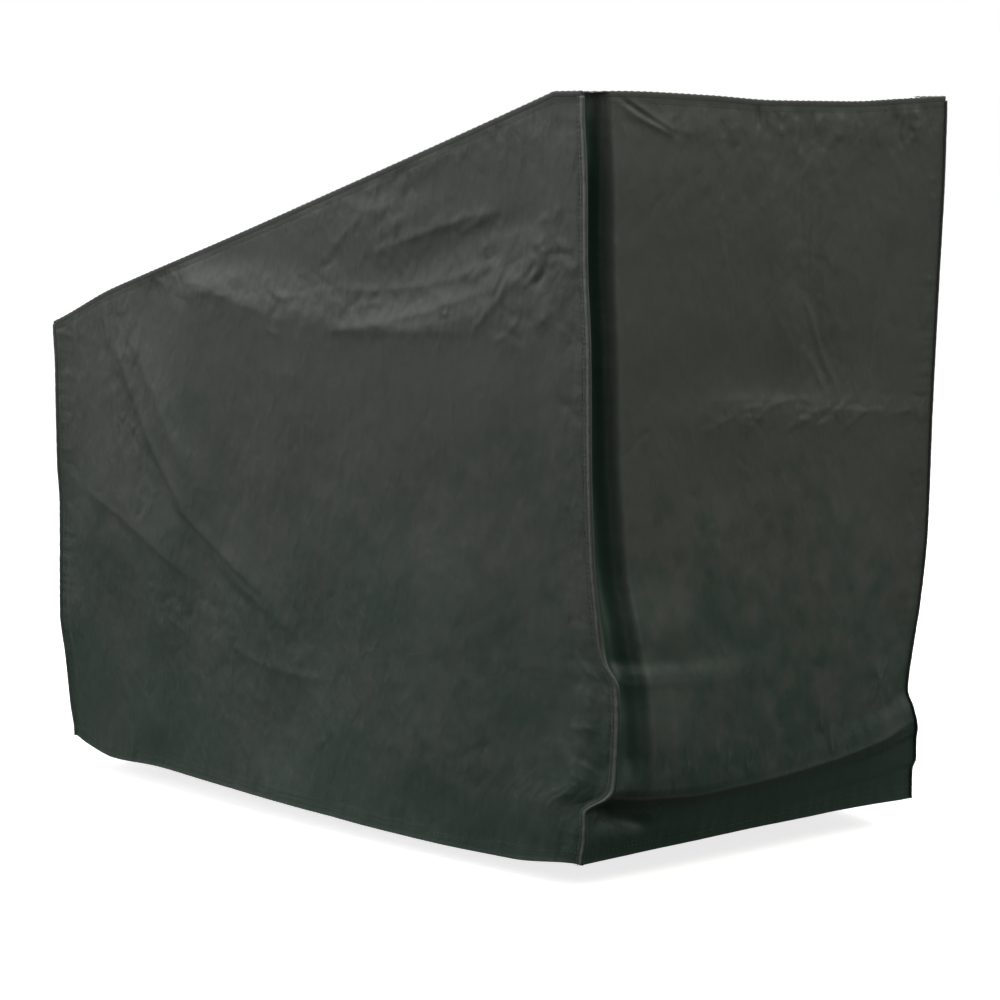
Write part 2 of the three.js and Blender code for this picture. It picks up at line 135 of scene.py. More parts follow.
def table(columns, *rows):
    """Named columns of numbers, looked up by the first of them"""
    return dict(zip(columns.split(), np.array(rows, float).T))


def records(kind, *rows):
    """A named tuple of one kind for each row, whose values are in the order of its fields"""
    return [kind(*row) for row in rows]


def lines(*spans):
    """Places of grid lines from zero on, for spans of (until, steps)"""
    places = [0.0]
    for until, steps in spans:
        places.extend(np.linspace(places[-1], until, steps + 1)[1:])
    return np.array(places)


# Crown of the long top edge over a straight slope
SLOPE_CROWN = table("back lift", (0, 0), (300, 2), (760, 6), (1130, 11), (LENGTH, 0))

# Corner seams: where each stands forward of its plan corner, and in towards the middle of the cover
NEAR_FRONT_CORNER = table(
    "height forward inward",
    (-6, -8, 4), (35, 0, 3), (68, -1, 4), (80, 14, 5), (92, 38, 6), (108, 54, 7),
    (150, 58, 8), (200, 61, 8), (250, 58, 8), (263, 52, 7), (282, 36, 6), (305, 28, 5),
    (365, 21, 3), (425, 14, 2), (560, 10, 0), (710, 8, 0), (830, 1, 0), (930, 0, 0),
    (FRONT_HEIGHT, -7, 0),
)
FAR_FRONT_CORNER = table(
    "height forward inward",
    (0, -6, 52), (45, -6, 51), (60, -5, 44), (92, -4, 45), (108, 3, 50), (124, 8, 58),
    (145, 6, 64), (170, 0, 70), (230, 0, 60), (305, 0, 44), (410, 0, 30), (590, 0, 23),
    (770, 0, 13), (960, 0, 2), (FRONT_HEIGHT, 0, 0),
)
NEAR_REAR_CORNER = table(
    "height forward inward",
    (5, 30, 6), (60, 18, 6), (140, 8, 4), (210, -3, 2), (400, -1, 3), (460, -5, 2),
    (620, -4, 0), (REAR_HEIGHT, -9, 0),
)
FAR_REAR_CORNER = table(
    "height forward inward",
    (4, 24, 16), (90, 14, 12), (220, 2, 5), (380, -5, 4), (520, -2, 1),
    (REAR_HEIGHT, -6, 0),
)

# Hem and tuck line of the side panels. Below the tuck line the cloth turns in to the hem.
NEAR_HEM = table(
    "back height",
    (0, -6), (140, -18), (300, -20), (640, -15), (1000, -8), (1160, -14), (1250, -3), (LENGTH, 5),
)
FAR_HEM = table("back height", (0, 0), (220, -11), (520, -17), (800, -9), (1050, -13), (LENGTH, 4))
NEAR_TUCK = table("back height", (0, 92), (180, 88), (LENGTH, 62))
FAR_TUCK = table("back height", (0, 124), (200, 100), (LENGTH, 60))

# Front and rear edges between two corners: how far each sags below a straight line
FRONT_EDGES = table(
    "across top tuck hem",
    (0, 0, 0, 0), (80, -1, 11, -1), (235, 3, 27, -4), (375, 9, 29, -5),
    (520, 9, 25, -4), (640, 4, 16, -2), (WIDTH, 0, 0, 0),
)
REAR_EDGES = table(
    "across top tuck hem",
    (0, 0, 0, 0), (190, 4, 6, 9), (400, 7, 2, 5), (580, 3, 7, 10), (WIDTH, 0, 0, 0),
)

# How far the front and rear panels stand forward between their corners, by height above the tuck line
FRONT_SWELL = table(
    "above_tuck forward",
    (-110, -8), (-60, 4), (-14, 21), (0, 27), (16, 28), (60, 28), (160, 21), (280, 11),
    (420, 4), (580, 0),
)
REAR_SWELL = table("above_tuck forward", (-60, 27), (0, 16), (80, 8), (150, 0), (400, -2), (640, -7))

# The pleat on the front panel beside the near corner: how deep it is across, and how it changes with height
FRONT_PLEAT = table(
    "across depth", (0, 0), (6, 7), (15, 27), (25, 31), (45, 11), (55, 1), (58, 0), (WIDTH, 0)
)
PLEAT_RUN = table(
    "height share widen",
    (0, 0, 1.6), (96, 0.3, 1.6), (150, 0.75, 1.6), (260, 0.95, 1.5), (300, 0.8, 1.4), (420, 0.9, 1.2),
    (620, 1, 1.05), (900, 1, 0.95), (985, 0.75, 0.95), (1061, 0.4, 0.9),
)

# Main folds, as in the solids, and two more low on the front, over which the near corner's step dies away.
# A place is [back, height] on a side, [across, height] on the front and rear, and [back, across] on the top.
NEAR_FOLDS = records(
    Fold,
    ((1010, 806), (760, 742), (490, 716), 48, 9, 320),
    ((610, 716), (300, 730), (20, 862), 46, 8, 260),
    ((1165, 745), (1050, 555), (840, 345), 70, 1.5, 14),
    ((930, 400), (790, 315), (620, 245), 60, 1.5, 14),
    ((800, 400), (985, 540), (1105, 745), 150, 4, 44),
    ((1270, 425), (1090, 358), (880, 262), 150, 7, 90),
    ((420, 800), (220, 864), (40, 905), 24, -1.6),
    ((560, 905), (460, 892), (370, 915), 26, 3, 70),
    ((440, 905), (370, 935), (290, 970), 24, -2),
    ((80, 40), (45, 160), (15, 300), 34, 4),
    ((330, 10), (300, 220), (330, 470), 80, 4),
    ((700, -10), (640, 160), (560, 380), 85, -4),
    ((1010, -10), (1000, 140), (960, 300), 70, 4),
)
FAR_FOLDS = records(
    Fold,
    ((430, 762), (760, 752), (1020, 790), 200, 6, 50),
    ((30, 850), (260, 772), (520, 758), 180, 6, 50),
    ((1130, 735), (1020, 520), (900, 300), 30, -4),
    ((1210, 700), (1150, 500), (1100, 320), 60, 5),
    ((200, 940), (140, 700), (190, 420), 46, 4),
    ((60, 60), (50, 180), (40, 330), 36, 5),
    ((430, 0), (410, 190), (440, 420), 80, 5),
    ((700, 0), (720, 170), (690, 360), 70, -5),
    ((980, -10), (960, 150), (900, 310), 70, 5),
)
FRONT_FOLDS = records(
    Fold,
    ((130, 1052), (225, 1030), (330, 1040), 30, 3),
    ((417, 1010), (440, 810), (525, 610), 26, -2),
    ((372, 980), (395, 790), (455, 620), 38, 2.5),
    ((636, 890), (598, 750), (575, 600), 26, -2),
    ((190, 626), (450, 598), (728, 592), 110, 2.6, 24),
    ((150, 690), (440, 664), (700, 660), 50, -2),
    ((250, 520), (240, 330), (270, 160), 80, 4),
    ((560, 520), (520, 330), (560, 170), 70, 4),
    ((690, 560), (660, 350), (690, 190), 40, -4),
    ((20, 66), (60, 52), (150, 40), 14, -8),
    ((-100, 314), (70, 314), (240, 318), 44, 5),
    ((-100, 232), (70, 232), (240, 228), 44, -5),
)
REAR_FOLDS = records(
    Fold,
    ((170, 690), (205, 380), (165, -60), 56, 8),
    ((380, 670), (355, 360), (400, -60), 62, -8),
    ((560, 690), (590, 350), (560, -60), 56, 8),
    ((700, 368), (365, 356), (30, 372), 26, 4, 120),
    ((60, 690), (150, 560), (330, 470), 28, -4),
    ((690, 680), (600, 540), (430, 455), 28, -4),
)
TOP_FOLDS = records(
    Fold,
    ((800, 365), (940, 365), (1090, 365), 120, 18),
    ((1000, 60), (930, 200), (820, 340), 34, 6),
    ((1010, 670), (930, 520), (830, 400), 34, 6),
    ((560, 40), (600, 365), (570, 690), 80, -10),
    ((260, 40), (300, 365), (250, 690), 70, -8),
    ((90, 160), (240, 150), (420, 230), 40, 6),
    ((90, 570), (230, 590), (430, 520), 40, 6),
    ((1180, 90), (1200, 365), (1180, 640), 46, -6),
)

# Creases with a sharp crest, too fine for the solids
NEAR_CREASES = records(
    Fold,
    ((1232, 735), (1235, 690), (1236, 620), 6, 1.2),
    ((1162, 756), (1149, 700), (1140, 640), 6, 1.5),
    ((1142, 756), (1133, 700), (1126, 640), 6, -1),
    ((1150, 720), (1034, 534), (890, 380), 24, 1.6, 5),
    ((985, 450), (860, 368), (680, 280), 22, 1.4, 5),
    ((1110, 720), (1010, 590), (900, 450), 50, 2, 12),
    ((1250, 436), (1080, 378), (840, 272), 60, 2, 10),
    ((1127, 612), (1121, 550), (1116, 470), 5, 1.2),
    ((1108, 525), (1104, 485), (1100, 440), 5, 1),
    ((1042, 545), (1038, 505), (1034, 465), 5, 0.8),
    ((1000, 812), (800, 752), (600, 716), 20, 2.2, 90),
    ((640, 720), (390, 726), (190, 752), 20, 2, 90),
    ((568, 925), (470, 894), (372, 926), 12, 0.9),
    ((385, 945), (388, 895), (396, 845), 6, -0.9),
    ((430, 840), (313, 872), (155, 906), 6, 1.5),
    ((272, 862), (225, 882), (166, 900), 5, 1.2),
    ((590, 782), (363, 786), (98, 846), 7, 1.1),
    ((590, 712), (390, 740), (108, 812), 7, 1.5),
    ((540, 714), (380, 721), (215, 727), 7, 0.8),
    ((236, 718), (189, 764), (76, 848), 6, 1.4),
    ((50, 840), (24, 812), (3, 790), 6, 1.6),
    ((44, 748), (20, 722), (2, 707), 5, -1.2),
    ((64, 644), (30, 622), (4, 602), 6, -1),
    ((1275, 320), (1272, 170), (1262, 30), 10, 1.2),
    ((860, 235), (700, 190), (500, 195), 12, 0.9),
    ((30, 94), (12, 78), (2, 70), 6, -2.6),
)
FAR_CREASES = records(
    Fold,
    ((1215, 722), (1208, 670), (1196, 600), 8, 1.8),
    ((1110, 690), (1010, 520), (905, 390), 9, -2.6),
    ((640, 780), (420, 790), (150, 850), 10, 2),
    ((600, 712), (400, 730), (140, 790), 9, 2.4),
    ((520, 930), (440, 902), (360, 930), 10, 2.2),
    ((300, 880), (230, 820), (180, 690), 8, 1.8),
    ((860, 420), (640, 380), (420, 400), 10, 1.6),
    ((90, 250), (50, 190), (6, 168), 8, -2.4),
)
FRONT_CREASES = records(
    Fold,
    ((30, 1086), (114, 1036), (196, 996), 3, 1.5),
    ((20, 1078), (108, 1026), (200, 996), 3, 1.6),
    ((25, 1082), (111, 1031), (198, 996), 2.6, -2.4),
    ((70, 1040), (129, 1018), (230, 1002), 5, 1.2),
    ((414, 960), (419, 867), (440, 768), 4.4, 1.2),
    ((430, 960), (435, 845), (442, 766), 4, 1.1),
    ((447, 955), (449, 840), (447, 770), 4.4, 0.9),
    ((438, 782), (474, 700), (528, 612), 5, 1.5),
    ((428, 776), (462, 695), (510, 622), 5, -0.9),
    ((609, 890), (598, 745), (581, 602), 5, 1.2),
    ((618, 850), (608, 745), (594, 640), 5, -0.8),
    ((200, 630), (390, 625), (510, 610), 6, 0.5),
    ((470, 614), (560, 600), (635, 597), 6, 0.5),
    ((600, 598), (660, 593), (712, 600), 6, 0.8),
    ((446, 620), (362, 613), (316, 570), 5, 1),
    ((632, 599), (566, 594), (510, 556), 5, 1),
    ((460, 594), (425, 588), (388, 575), 5, 0.8),
    ((254, 890), (264, 846), (281, 800), 5, 0.9),
    ((489, 188), (494, 158), (498, 130), 6, 1.2),
    ((521, 146), (518, 118), (515, 90), 6, 1.2),
    ((638, 222), (650, 180), (666, 146), 6, 1.2),
    ((2, 70), (52, 51), (116, 29), 6, 2),
)
REAR_CREASES = records(
    Fold,
    ((60, 640), (190, 600), (360, 610), 9, 1.8),
    ((690, 560), (560, 520), (450, 540), 9, 1.8),
    ((300, 340), (420, 300), (560, 320), 10, 2),
    ((120, 250), (160, 170), (150, 60), 9, 1.6),
)
TOP_CREASES = records(
    Fold,
    ((1040, 120), (930, 230), (780, 300), 10, 2),
    ((1020, 620), (930, 500), (790, 430), 10, 2),
    ((700, 80), (520, 200), (420, 330), 10, 1.8),
    ((700, 660), (560, 540), (430, 420), 10, 1.8),
    ((80, 300), (200, 330), (380, 300), 9, 1.6),
    ((1120, 300), (1130, 400), (1120, 520), 9, 1.6),
)

# Where the cloth is crumpled: short creases scattered about a centre, running about one way
NEAR_CRUMPLES = records(
    Crumple,
    ((1095, 640), (26, 66), 24, 64, -64, 20, 0.55),
    ((1050, 540), (30, 60), 18, 56, -54, 22, 0.5),
    ((1190, 600), (36, 120), 14, 90, -84, 8, 0.4),
    ((400, 752), (180, 18), 34, 60, -8, 30, 0.9),
    ((780, 772), (130, 16), 22, 60, 10, 34, 0.8),
    ((1000, 800), (24, 9), 18, 40, 20, 50, 1.4),
    ((420, 880), (80, 40), 26, 60, -35, 26, 0.8),
    ((120, 826), (70, 32), 34, 42, -40, 26, 1.5),
    ((30, 420), (14, 260), 30, 40, 4, 22, 0.4),
    ((36, 180), (16, 70), 20, 44, 6, 26, 0.5),
    ((900, 265), (140, 26), 12, 70, 10, 30, 0.5),
    ((640, 450), (340, 200), 60, 120, -50, 50, 0.3),
    ((700, 120), (380, 80), 40, 110, 70, 40, 0.3),
    ((1262, 480), (14, 160), 16, 50, 6, 30, 0.5),
    ((300, 1000), (240, 22), 30, 50, 50, 34, 0.9),
)
FAR_CRUMPLES = records(
    Crumple,
    ((500, 760), (240, 34), 30, 90, -6, 18, 0.6),
    ((1080, 620), (44, 80), 22, 70, -66, 20, 0.6),
    ((60, 220), (30, 70), 20, 50, 6, 30, 0.7),
    ((620, 420), (340, 190), 60, 120, 60, 60, 0.4),
)
FRONT_CRUMPLES = records(
    Crumple,
    ((360, 1018), (150, 12), 30, 56, 86, 14, 1.5),
    ((630, 1020), (70, 12), 14, 50, 92, 14, 1.3),
    ((330, 960), (120, 50), 26, 70, 74, 30, 0.5),
    ((450, 850), (22, 80), 14, 90, 86, 8, 0.6),
    ((500, 700), (40, 60), 14, 80, -66, 12, 0.5),
    ((480, 604), (150, 12), 24, 50, 4, 30, 0.7),
    ((650, 180), (16, 30), 12, 40, 70, 40, 0.8),
    ((420, 790), (200, 150), 50, 100, 80, 50, 0.35),
    ((400, 360), (220, 120), 50, 110, 84, 40, 0.35),
    ((320, 120), (200, 16), 20, 44, 80, 30, 0.6),
    ((60, 50), (44, 18), 12, 44, -20, 24, 0.8),
    ((708, 600), (10, 240), 22, 40, 10, 26, 0.5),
)
REAR_CRUMPLES = records(
    Crumple,
    ((365, 560), (190, 70), 36, 80, 12, 40, 0.5),
    ((365, 220), (200, 110), 36, 90, 84, 40, 0.5),
)
TOP_CRUMPLES = records(
    Crumple,
    ((930, 365), (130, 150), 40, 80, 40, 80, 0.6),
    ((330, 365), (200, 170), 40, 90, -30, 80, 0.5),
)

# Grid lines of each panel, close together along seams, hem and main creases. All have three steps or a
# multiple of it, because the inner face has a third of the lines.
NEAR_GRID = (
    lines((24, 9), (LENGTH - 24, 324), (LENGTH, 9)),
    lines((24, 9), (100, 21), (1036, 216), (1060, 9)) / 1060,
)
FAR_GRID = (
    lines((24, 6), (LENGTH - 24, 240), (LENGTH, 6)),
    lines((24, 6), (100, 15), (1036, 150), (1060, 6)) / 1060,
)
FRONT_GRID = (
    lines((24, 9), (130, 33), (WIDTH - 24, 174), (WIDTH, 9)),
    lines((24, 9), (130, 39), (550, 108), (680, 48), (1036, 120), (1060, 9)) / 1060,
)
REAR_GRID = (
    lines((24, 6), (WIDTH - 24, 138), (WIDTH, 6)),
    lines((24, 6), (70, 12), (676, 126), (700, 6)) / 700,
)
TOP_GRID = (lines((24, 6), (LENGTH - 24, 240), (LENGTH, 6)), lines((24, 6), (WIDTH - 24, 138), (WIDTH, 6)))

# Cross-sections of the seams: how far in from the corner or edge, and how far proud of the panel
FELL_SEAM = np.array(
    [
        (-2.8, -0.8), (-2.8, 0.8), (-2.1, 2.4), (-0.4, 3.2), (1.8, 3.1), (3.8, 2.3),
        (5.4, 1.2), (7, 0.7), (9, 0.6), (10, 1), (11, 0.9), (12, -0.8),
    ]
)
PIPED_SEAM = np.array(
    [(-2, -0.8), (-2, 0.7), (-1.1, 1.9), (0.3, 2.4), (1.8, 1.8), (3, 0.9), (5, 0.5), (6, -0.8)]
)
SLIM_SEAM = np.array(
    [(-1, -0.8), (-1, 0.2), (-0.3, 0.6), (1, 0.7), (3, 0.5), (5, 0.3), (6.2, 0.16), (6.5, 0.12), (6.6, -0.8)]
)

# Camera and lights
CAMERA_PLACE = (3319, -3383, -63)
CAMERA_AZIMUTH = 48.96
CAMERA_PITCH = 6.16
CAMERA_LENS = 117.864
FLOOR_GAP = 22
FLOOR_HALF = 40

# Painted sheen: colour painted paler and greyer toward the top, by height in metres with its own unevenness;
# and dents of the crumpled coating
PAINTED_SHEEN_LOW = -0.25
PAINTED_SHEEN_HIGH = 0.65
PAINTED_SHEEN_PATCHES = ((5.0, 0.5), (24.0, 0.55))
PAINTED_SHEEN_PATCH_HEIGHT = 0.9
FRONT_PAINTED_SHEEN = 1.5
# Painted shade in the front's pleat: at this share of its greatest depth the painted sheen is gone
PLEAT_PAINTED_SHADE = 0.6
CRINKLE_DEPTH = 0.0014
DENT_DEPTH = 0.0015
DENT_TURNS = (12, 68, -58)
DENT_STRETCH = (1, 0.6, 1)
DENTS_EVERYWHERE = 0.18
WEAVE_DEPTH = 0.0002

WHITE = (1, 1, 1, 1)
FLOOR_EMISSION = 0.78
WORLD_LOW = 0.12
WORLD_HIGH = 0.55
WORLD_BEHIND_CAMERA = 0.25
WAY_TO_CAMERA = (0.75, -0.66, 0)
LAMPS = (
    Lamp("left softbox", (-3.9, -3.3, 0.9), (-1.2, -0.4, -0.75), 46, (3.6, 3.0), 12, (1, 1, 1)),
    Lamp("right softbox", (3.4, 1.8, 2.6), (-0.6, 0, -0.4), 180, (2.4, 2.4), 84, (0.975, 1, 0.86)),
    Lamp("overhead softbox", (-0.6, -0.9, 3.1), (-0.6, 0, -0.5), 180, (3.4, 2.4), 80, (1, 1, 1)),
    Lamp("rear softbox", (-3.4, 3.4, 1.4), (-0.7, 0, -0.5), 180, (3.2, 2.4), 110, (1, 1, 1)),
)


def read(columns, name, place):
    """A column of a table, read between its rows as a smooth curve that never overshoots a row"""
    places = next(iter(columns.values()))
    values = columns[name]
    slopes = np.diff(values) / np.diff(places)
    pairs = slopes[:-1] * slopes[1:]
    sums = np.where(pairs > 0, slopes[:-1] + slopes[1:], 1)
    tangents = np.concatenate([[0], np.where(pairs > 0, 2 * pairs / sums, 0), [0]])
    at = np.clip(place, places[0], places[-1])
    low = np.clip(np.searchsorted(places, at) - 1, 0, len(places) - 2)
    span = places[low + 1] - places[low]
    share = (at - places[low]) / span
    rest = 1 - share
    ends = values[low] * rest**2 * (1 + 2 * share) + values[low + 1] * share**2 * (1 + 2 * rest)
    return ends + span * share * rest * (tangents[low] * rest - tangents[low + 1] * share)


def smoothstep(value, low, high):
    share = np.clip((value - low) / (high - low), 0, 1)
    return share**2 * (3 - 2 * share)


def calm(flat, soft, *distances):
    """Share of a fold's height that is left at these distances from the panel's seams"""
    share = 1
    for distance in distances:
        share = share * smoothstep(distance, flat, soft)
    return share


def fold_curve(fold, steps):
    """The curve of a fold through its three places, cut into short straight pieces"""
    start, via, end = (np.array(place, float) for place in fold[:3])
    control = 2 * via - 0.5 * start - 0.5 * end
    share = np.linspace(0, 1, steps + 1)[:, None]
    return start * (1 - share) ** 2 + 2 * control * share * (1 - share) + end * share**2


def nearest_on_curve(curve, across, along):
    """How far each place is from a curve, at which share of it, and whether the place is on its left"""
    nearest = np.full(across.shape, np.inf)
    share_along = np.zeros(across.shape)
    left = np.zeros(across.shape, bool)
    pieces = len(curve) - 1
    for piece in range(pieces):
        start = curve[piece]
        run = curve[piece + 1] - start
        reach = ((across - start[0]) * run[0] + (along - start[1]) * run[1]) / (run @ run)
        share = np.clip(reach, 0, 1)
        distance = np.hypot(across - start[0] - share * run[0], along - start[1] - share * run[1])
        closer = distance < nearest
        nearest = np.where(closer, distance, nearest)
        share_along = np.where(closer, (piece + share) / pieces, share_along)
        left = np.where(closer, run[0] * (along - start[1]) > run[1] * (across - start[0]), left)
    return nearest, share_along, left


def soft_profile(distance, half):
    return np.exp(-((distance / half) ** 2))


def sharp_profile(distance, half):
    return np.exp((CREASE_TIP - np.hypot(distance, CREASE_TIP)) / half)


def fold_rise(folds, across, along, profile=soft_profile, reach=3, steps=FOLD_STEPS):
    """How far a list of folds pushes the cloth out at places on its panel"""
    across, along = np.broadcast_arrays(across, along)
    rise = np.zeros(across.shape)
    for fold in folds:
        curve = fold_curve(fold, steps)
        left_half = fold.left_half or fold.half
        widest = max(fold.half, left_half)
        low = curve.min(axis=0) - reach * widest
        high = curve.max(axis=0) + reach * widest
        inside = (across > low[0]) & (across < high[0]) & (along > low[1]) & (along < high[1])
        if not inside.any():
            continue
        distance, share, left = nearest_on_curve(curve, across[inside], along[inside])
        taper = smoothstep(np.minimum(share, 1 - share), 0, FOLD_TAPER)
        rise[inside] += fold.rise * taper * profile(distance, np.where(left, left_half, fold.half))
    return rise


def scattered_creases(crumples, seed):
    """The short creases of each crumpled place, from a fixed seed"""
    random = np.random.default_rng(seed)
    creases = []
    for crumple in crumples:
        for _ in range(crumple.creases):
            middle = random.normal(crumple.centre, crumple.spread)
            turn = math.radians(crumple.direction + random.uniform(-1, 1) * crumple.turn)
            length = crumple.length * random.uniform(*LENGTH_SHARES)
            run = 0.5 * length * np.array([math.cos(turn), math.sin(turn)])
            bow = random.uniform(-BOW_SHARE, BOW_SHARE) * np.array([-run[1], run[0]])
            rise = crumple.rise * random.uniform(*RISE_SHARES) * random.choice([-1, 1])
            half = max(LEAST_HALF, random.uniform(*HALF_SHARES) * length)
            creases.append(Fold(middle - run, middle + bow, middle + run, half, rise))
    return creases


def crumpling(panel, across, along):
    """How crumpled the coating is at places on a panel, from 0 to 1"""
    smooth = 1
    for crumple in panel.crumples:
        reach = ((across - crumple.centre[0]) / (CRUMPLE_REACH * crumple.spread[0])) ** 2
        reach = reach + ((along - crumple.centre[1]) / (CRUMPLE_REACH * crumple.spread[1])) ** 2
        smooth = smooth * (1 - min(1, crumple.rise) * np.exp(-0.5 * reach))
    return 1 - smooth


def uneven_wave(along, lengths, seed):
    """A wave of uneven length and height, between about -1 and 1"""
    phases = np.random.default_rng(seed).uniform(0, 2 * math.pi, (len(lengths), 2))
    wave = 0
    for length, (phase, drift) in zip(lengths, phases):
        sway = 1.6 * np.sin(2 * math.pi * along / (4.3 * length) + drift)
        wave = wave + np.sin(2 * math.pi * along / length + phase + sway)
    return wave / len(lengths)


def uneven_ground(across, along, seed):
    """Broad soft unevenness of a hung sheet"""
    random = np.random.default_rng(seed)
    ground = 0
    for length in GROUND_LENGTHS:
        turn = random.uniform(0, math.pi)
        place = across * math.cos(turn) + along * math.sin(turn)
        sideways = along * math.cos(turn) - across * math.sin(turn)
        bend = 1.2 * np.sin(2 * math.pi * sideways / (1.7 * length) + random.uniform(0, 6))
        ground = ground + np.sin(2 * math.pi * place / length + bend + random.uniform(0, 6))
    return GROUND_RISE * ground


def pleat_depth(end, across, height):
    """How deep the pleat of an end panel is at places on it"""
    if not end.pleat:
        return 0
    run, depth = end.pleat
    return read(run, "share", height) * read(depth, "depth", across / read(run, "widen", height))


def end_painted_sheen_share(end, across, height, level):
    """Share of the painted sheen on an end panel: more on the front, and painted shade takes it away inside
    its pleat and below its tuck line
    """
    share = smoothstep(level, TUCK_LEVEL - 0.002, TUCK_LEVEL)
    if end.pleat:
        painted_shade_depth = PLEAT_PAINTED_SHADE * end.pleat[1]["depth"].max()
        share = FRONT_PAINTED_SHEEN * share * (1 - smoothstep(pleat_depth(end, across, height), 0, painted_shade_depth))
    return share


def seam_gather(seam, seed):
    """What a row of stitches does to the cloth beside a seam: a groove, and gathers that die away"""
    groove = -seam.groove * soft_profile(seam.distance - SEAM_STITCH, GROOVE_HALF)
    strength = 0.5 + 0.5 * uneven_wave(seam.along, (210, 340), seed + 1)
    weight = np.exp(-np.abs(seam.distance - SEAM_STITCH) / GATHER_REACH)
    return groove + GATHER_RISE * strength * weight * uneven_wave(seam.along, GATHER_LENGTHS, seed)


def hem_band(above_hem, along, seed):
    """The doubled and stitched edge of a hem"""
    band = HEM_PROUD * (1 - smoothstep(above_hem, HEM_BAND - 2, HEM_BAND + 3))
    band = band + HEM_ROLL * soft_profile(above_hem, 4)
    groove = HEM_GROOVE * soft_profile(above_hem - HEM_STITCH, GROOVE_HALF)
    ripple = soft_profile(above_hem - HEM_STITCH, HEM_RIPPLE_REACH)
    return band - groove + HEM_RIPPLE * ripple * uneven_wave(along, HEM_RIPPLE_LENGTHS, seed)


def fine_relief(panel, across, along, above_hem, *seams):
    """Creases, crumples, hem and seam gathers of a panel, for seams of (distance, place along it, groove)"""
    seams = [SeamEdge(*seam) for seam in seams]
    near_seam = [seam.distance for seam in seams]
    relief = fold_rise(panel.creases, across, along, sharp_profile, reach=5)
    relief = relief + fold_rise(panel.scattered, across, along, sharp_profile, reach=5, steps=2)
    relief = relief + uneven_ground(across, along, panel.seed)
    relief = calm(CREASE_FLAT, CREASE_SOFT, *near_seam) * relief
    if above_hem is not None:
        relief = relief + hem_band(above_hem, across, panel.seed)
    for number, seam in enumerate(seams):
        relief = relief + seam_gather(seam, panel.seed + 5 * number)
    return relief


def top_edge(back):
    """Height of the long top edge of a side panel"""
    slope_share = np.maximum(0, back - FLAT_TOP) / (LENGTH - FLAT_TOP)
    return FRONT_HEIGHT + (REAR_HEIGHT - FRONT_HEIGHT) * slope_share + read(SLOPE_CROWN, "lift", back)


def height_at(level, hem, tuck, top):
    """Height of a level from 0 at the hem, over TUCK_LEVEL at the tuck line, to 1 at the top edge"""
    below = hem + (tuck - hem) * level / TUCK_LEVEL
    above = tuck + (top - tuck) * (level - TUCK_LEVEL) / (1 - TUCK_LEVEL)
    return np.where(level < TUCK_LEVEL, below, above)


def corner_share(distance):
    """Share of a corner seam's bends that a side panel follows at a distance from it"""
    return np.maximum(0, 1 - distance / CORNER_REACH) ** 2


def side_point(side, back, level):
    """Points of a side panel's outer face, in millimetres from the plan corner"""
    back, level = np.broadcast_arrays(np.asarray(back, float), np.asarray(level, float))
    top = top_edge(back)
    hem = read(side.hem, "height", back)
    height = height_at(level, hem, read(side.tuck, "height", back), top)

    def bend(name):
        front = corner_share(back) * read(side.front_corner, name, height)
        return front + corner_share(LENGTH - back) * read(side.rear_corner, name, height)

    flare = HEM_FLARE * np.sin(math.pi * back / LENGTH) * np.maximum(0, 1 - height / FLARE_HEIGHT) ** 2
    folds = fold_rise(side.folds, back, height)
    outward = flare + folds * calm(SEAM_FLAT, SEAM_SOFT, back, LENGTH - back, top - height)
    distances = ((back, height, 0.45), (LENGTH - back, height, 0.2), (top - height, back, 0.2))
    outward = outward + fine_relief(side, back, height, height - hem, *distances)
    across = WIDTH / 2 - bend("inward") + outward
    return np.stack([bend("forward") - back, side.sign * across, height], axis=-1)


def between(near, far, share):
    """Points between two panel edges, half a cloth thickness in from both"""
    inset = np.array([0, CLOTH / 2, 0])
    share = np.asarray(share)[..., None]
    return (near + inset) * (1 - share) + (far - inset) * share


def end_point(end, across, level):
    """Points of the front or rear panel's outer face"""
    across = np.asarray(across, float)
    level = np.asarray(level, float)
    share = across / WIDTH

    def edge(at_level, name):
        near = side_point(NEAR, end.back, at_level)
        far = side_point(FAR, end.back, at_level)
        return between(near, far, share)[..., 2] - read(end.edges, name, across)

    near_column = side_point(NEAR, end.back, level)
    far_column = side_point(FAR, end.back, level)
    point = between(near_column, far_column, share)
    hem = edge(0.0, "hem")
    tuck = edge(TUCK_LEVEL, "tuck")
    top = edge(1.0, "top") - CLOTH / 2
    height = height_at(level, hem, tuck, top)
    power = 1 + (CORNER_FADE - 1) * smoothstep(top - height, SEAM_FLAT, CORNER_REACH)
    near_share = (1 - share) ** power
    far_share = share**power
    forward = near_share * near_column[..., 0] + far_share * far_column[..., 0]
    swell = read(end.swell, "forward", height - tuck) - end.back
    forward = forward + (1 - near_share - far_share) * swell
    across = across + 0 * height
    sideways = np.minimum(across, WIDTH - across)
    steady = smoothstep(sideways, 0, SEAM_FLAT) * calm(SEAM_FLAT, SEAM_SOFT, top - height)
    outward = steady * fold_rise(end.folds, across, height)
    crest = end.tuck_crest * smoothstep(sideways, 0, TUCK_CREST_FADE)
    crest = crest * sharp_profile(height - tuck, TUCK_CREST_HALF) - pleat_depth(end, across, height)
    distances = ((across, height, 0.2), (WIDTH - across, height, 0.2), (top - height, across, 0.15))
    outward = outward + crest + fine_relief(end, across, height, height - hem, *distances)
    return np.stack([forward + end.outward * outward, point[..., 1], height], axis=-1)


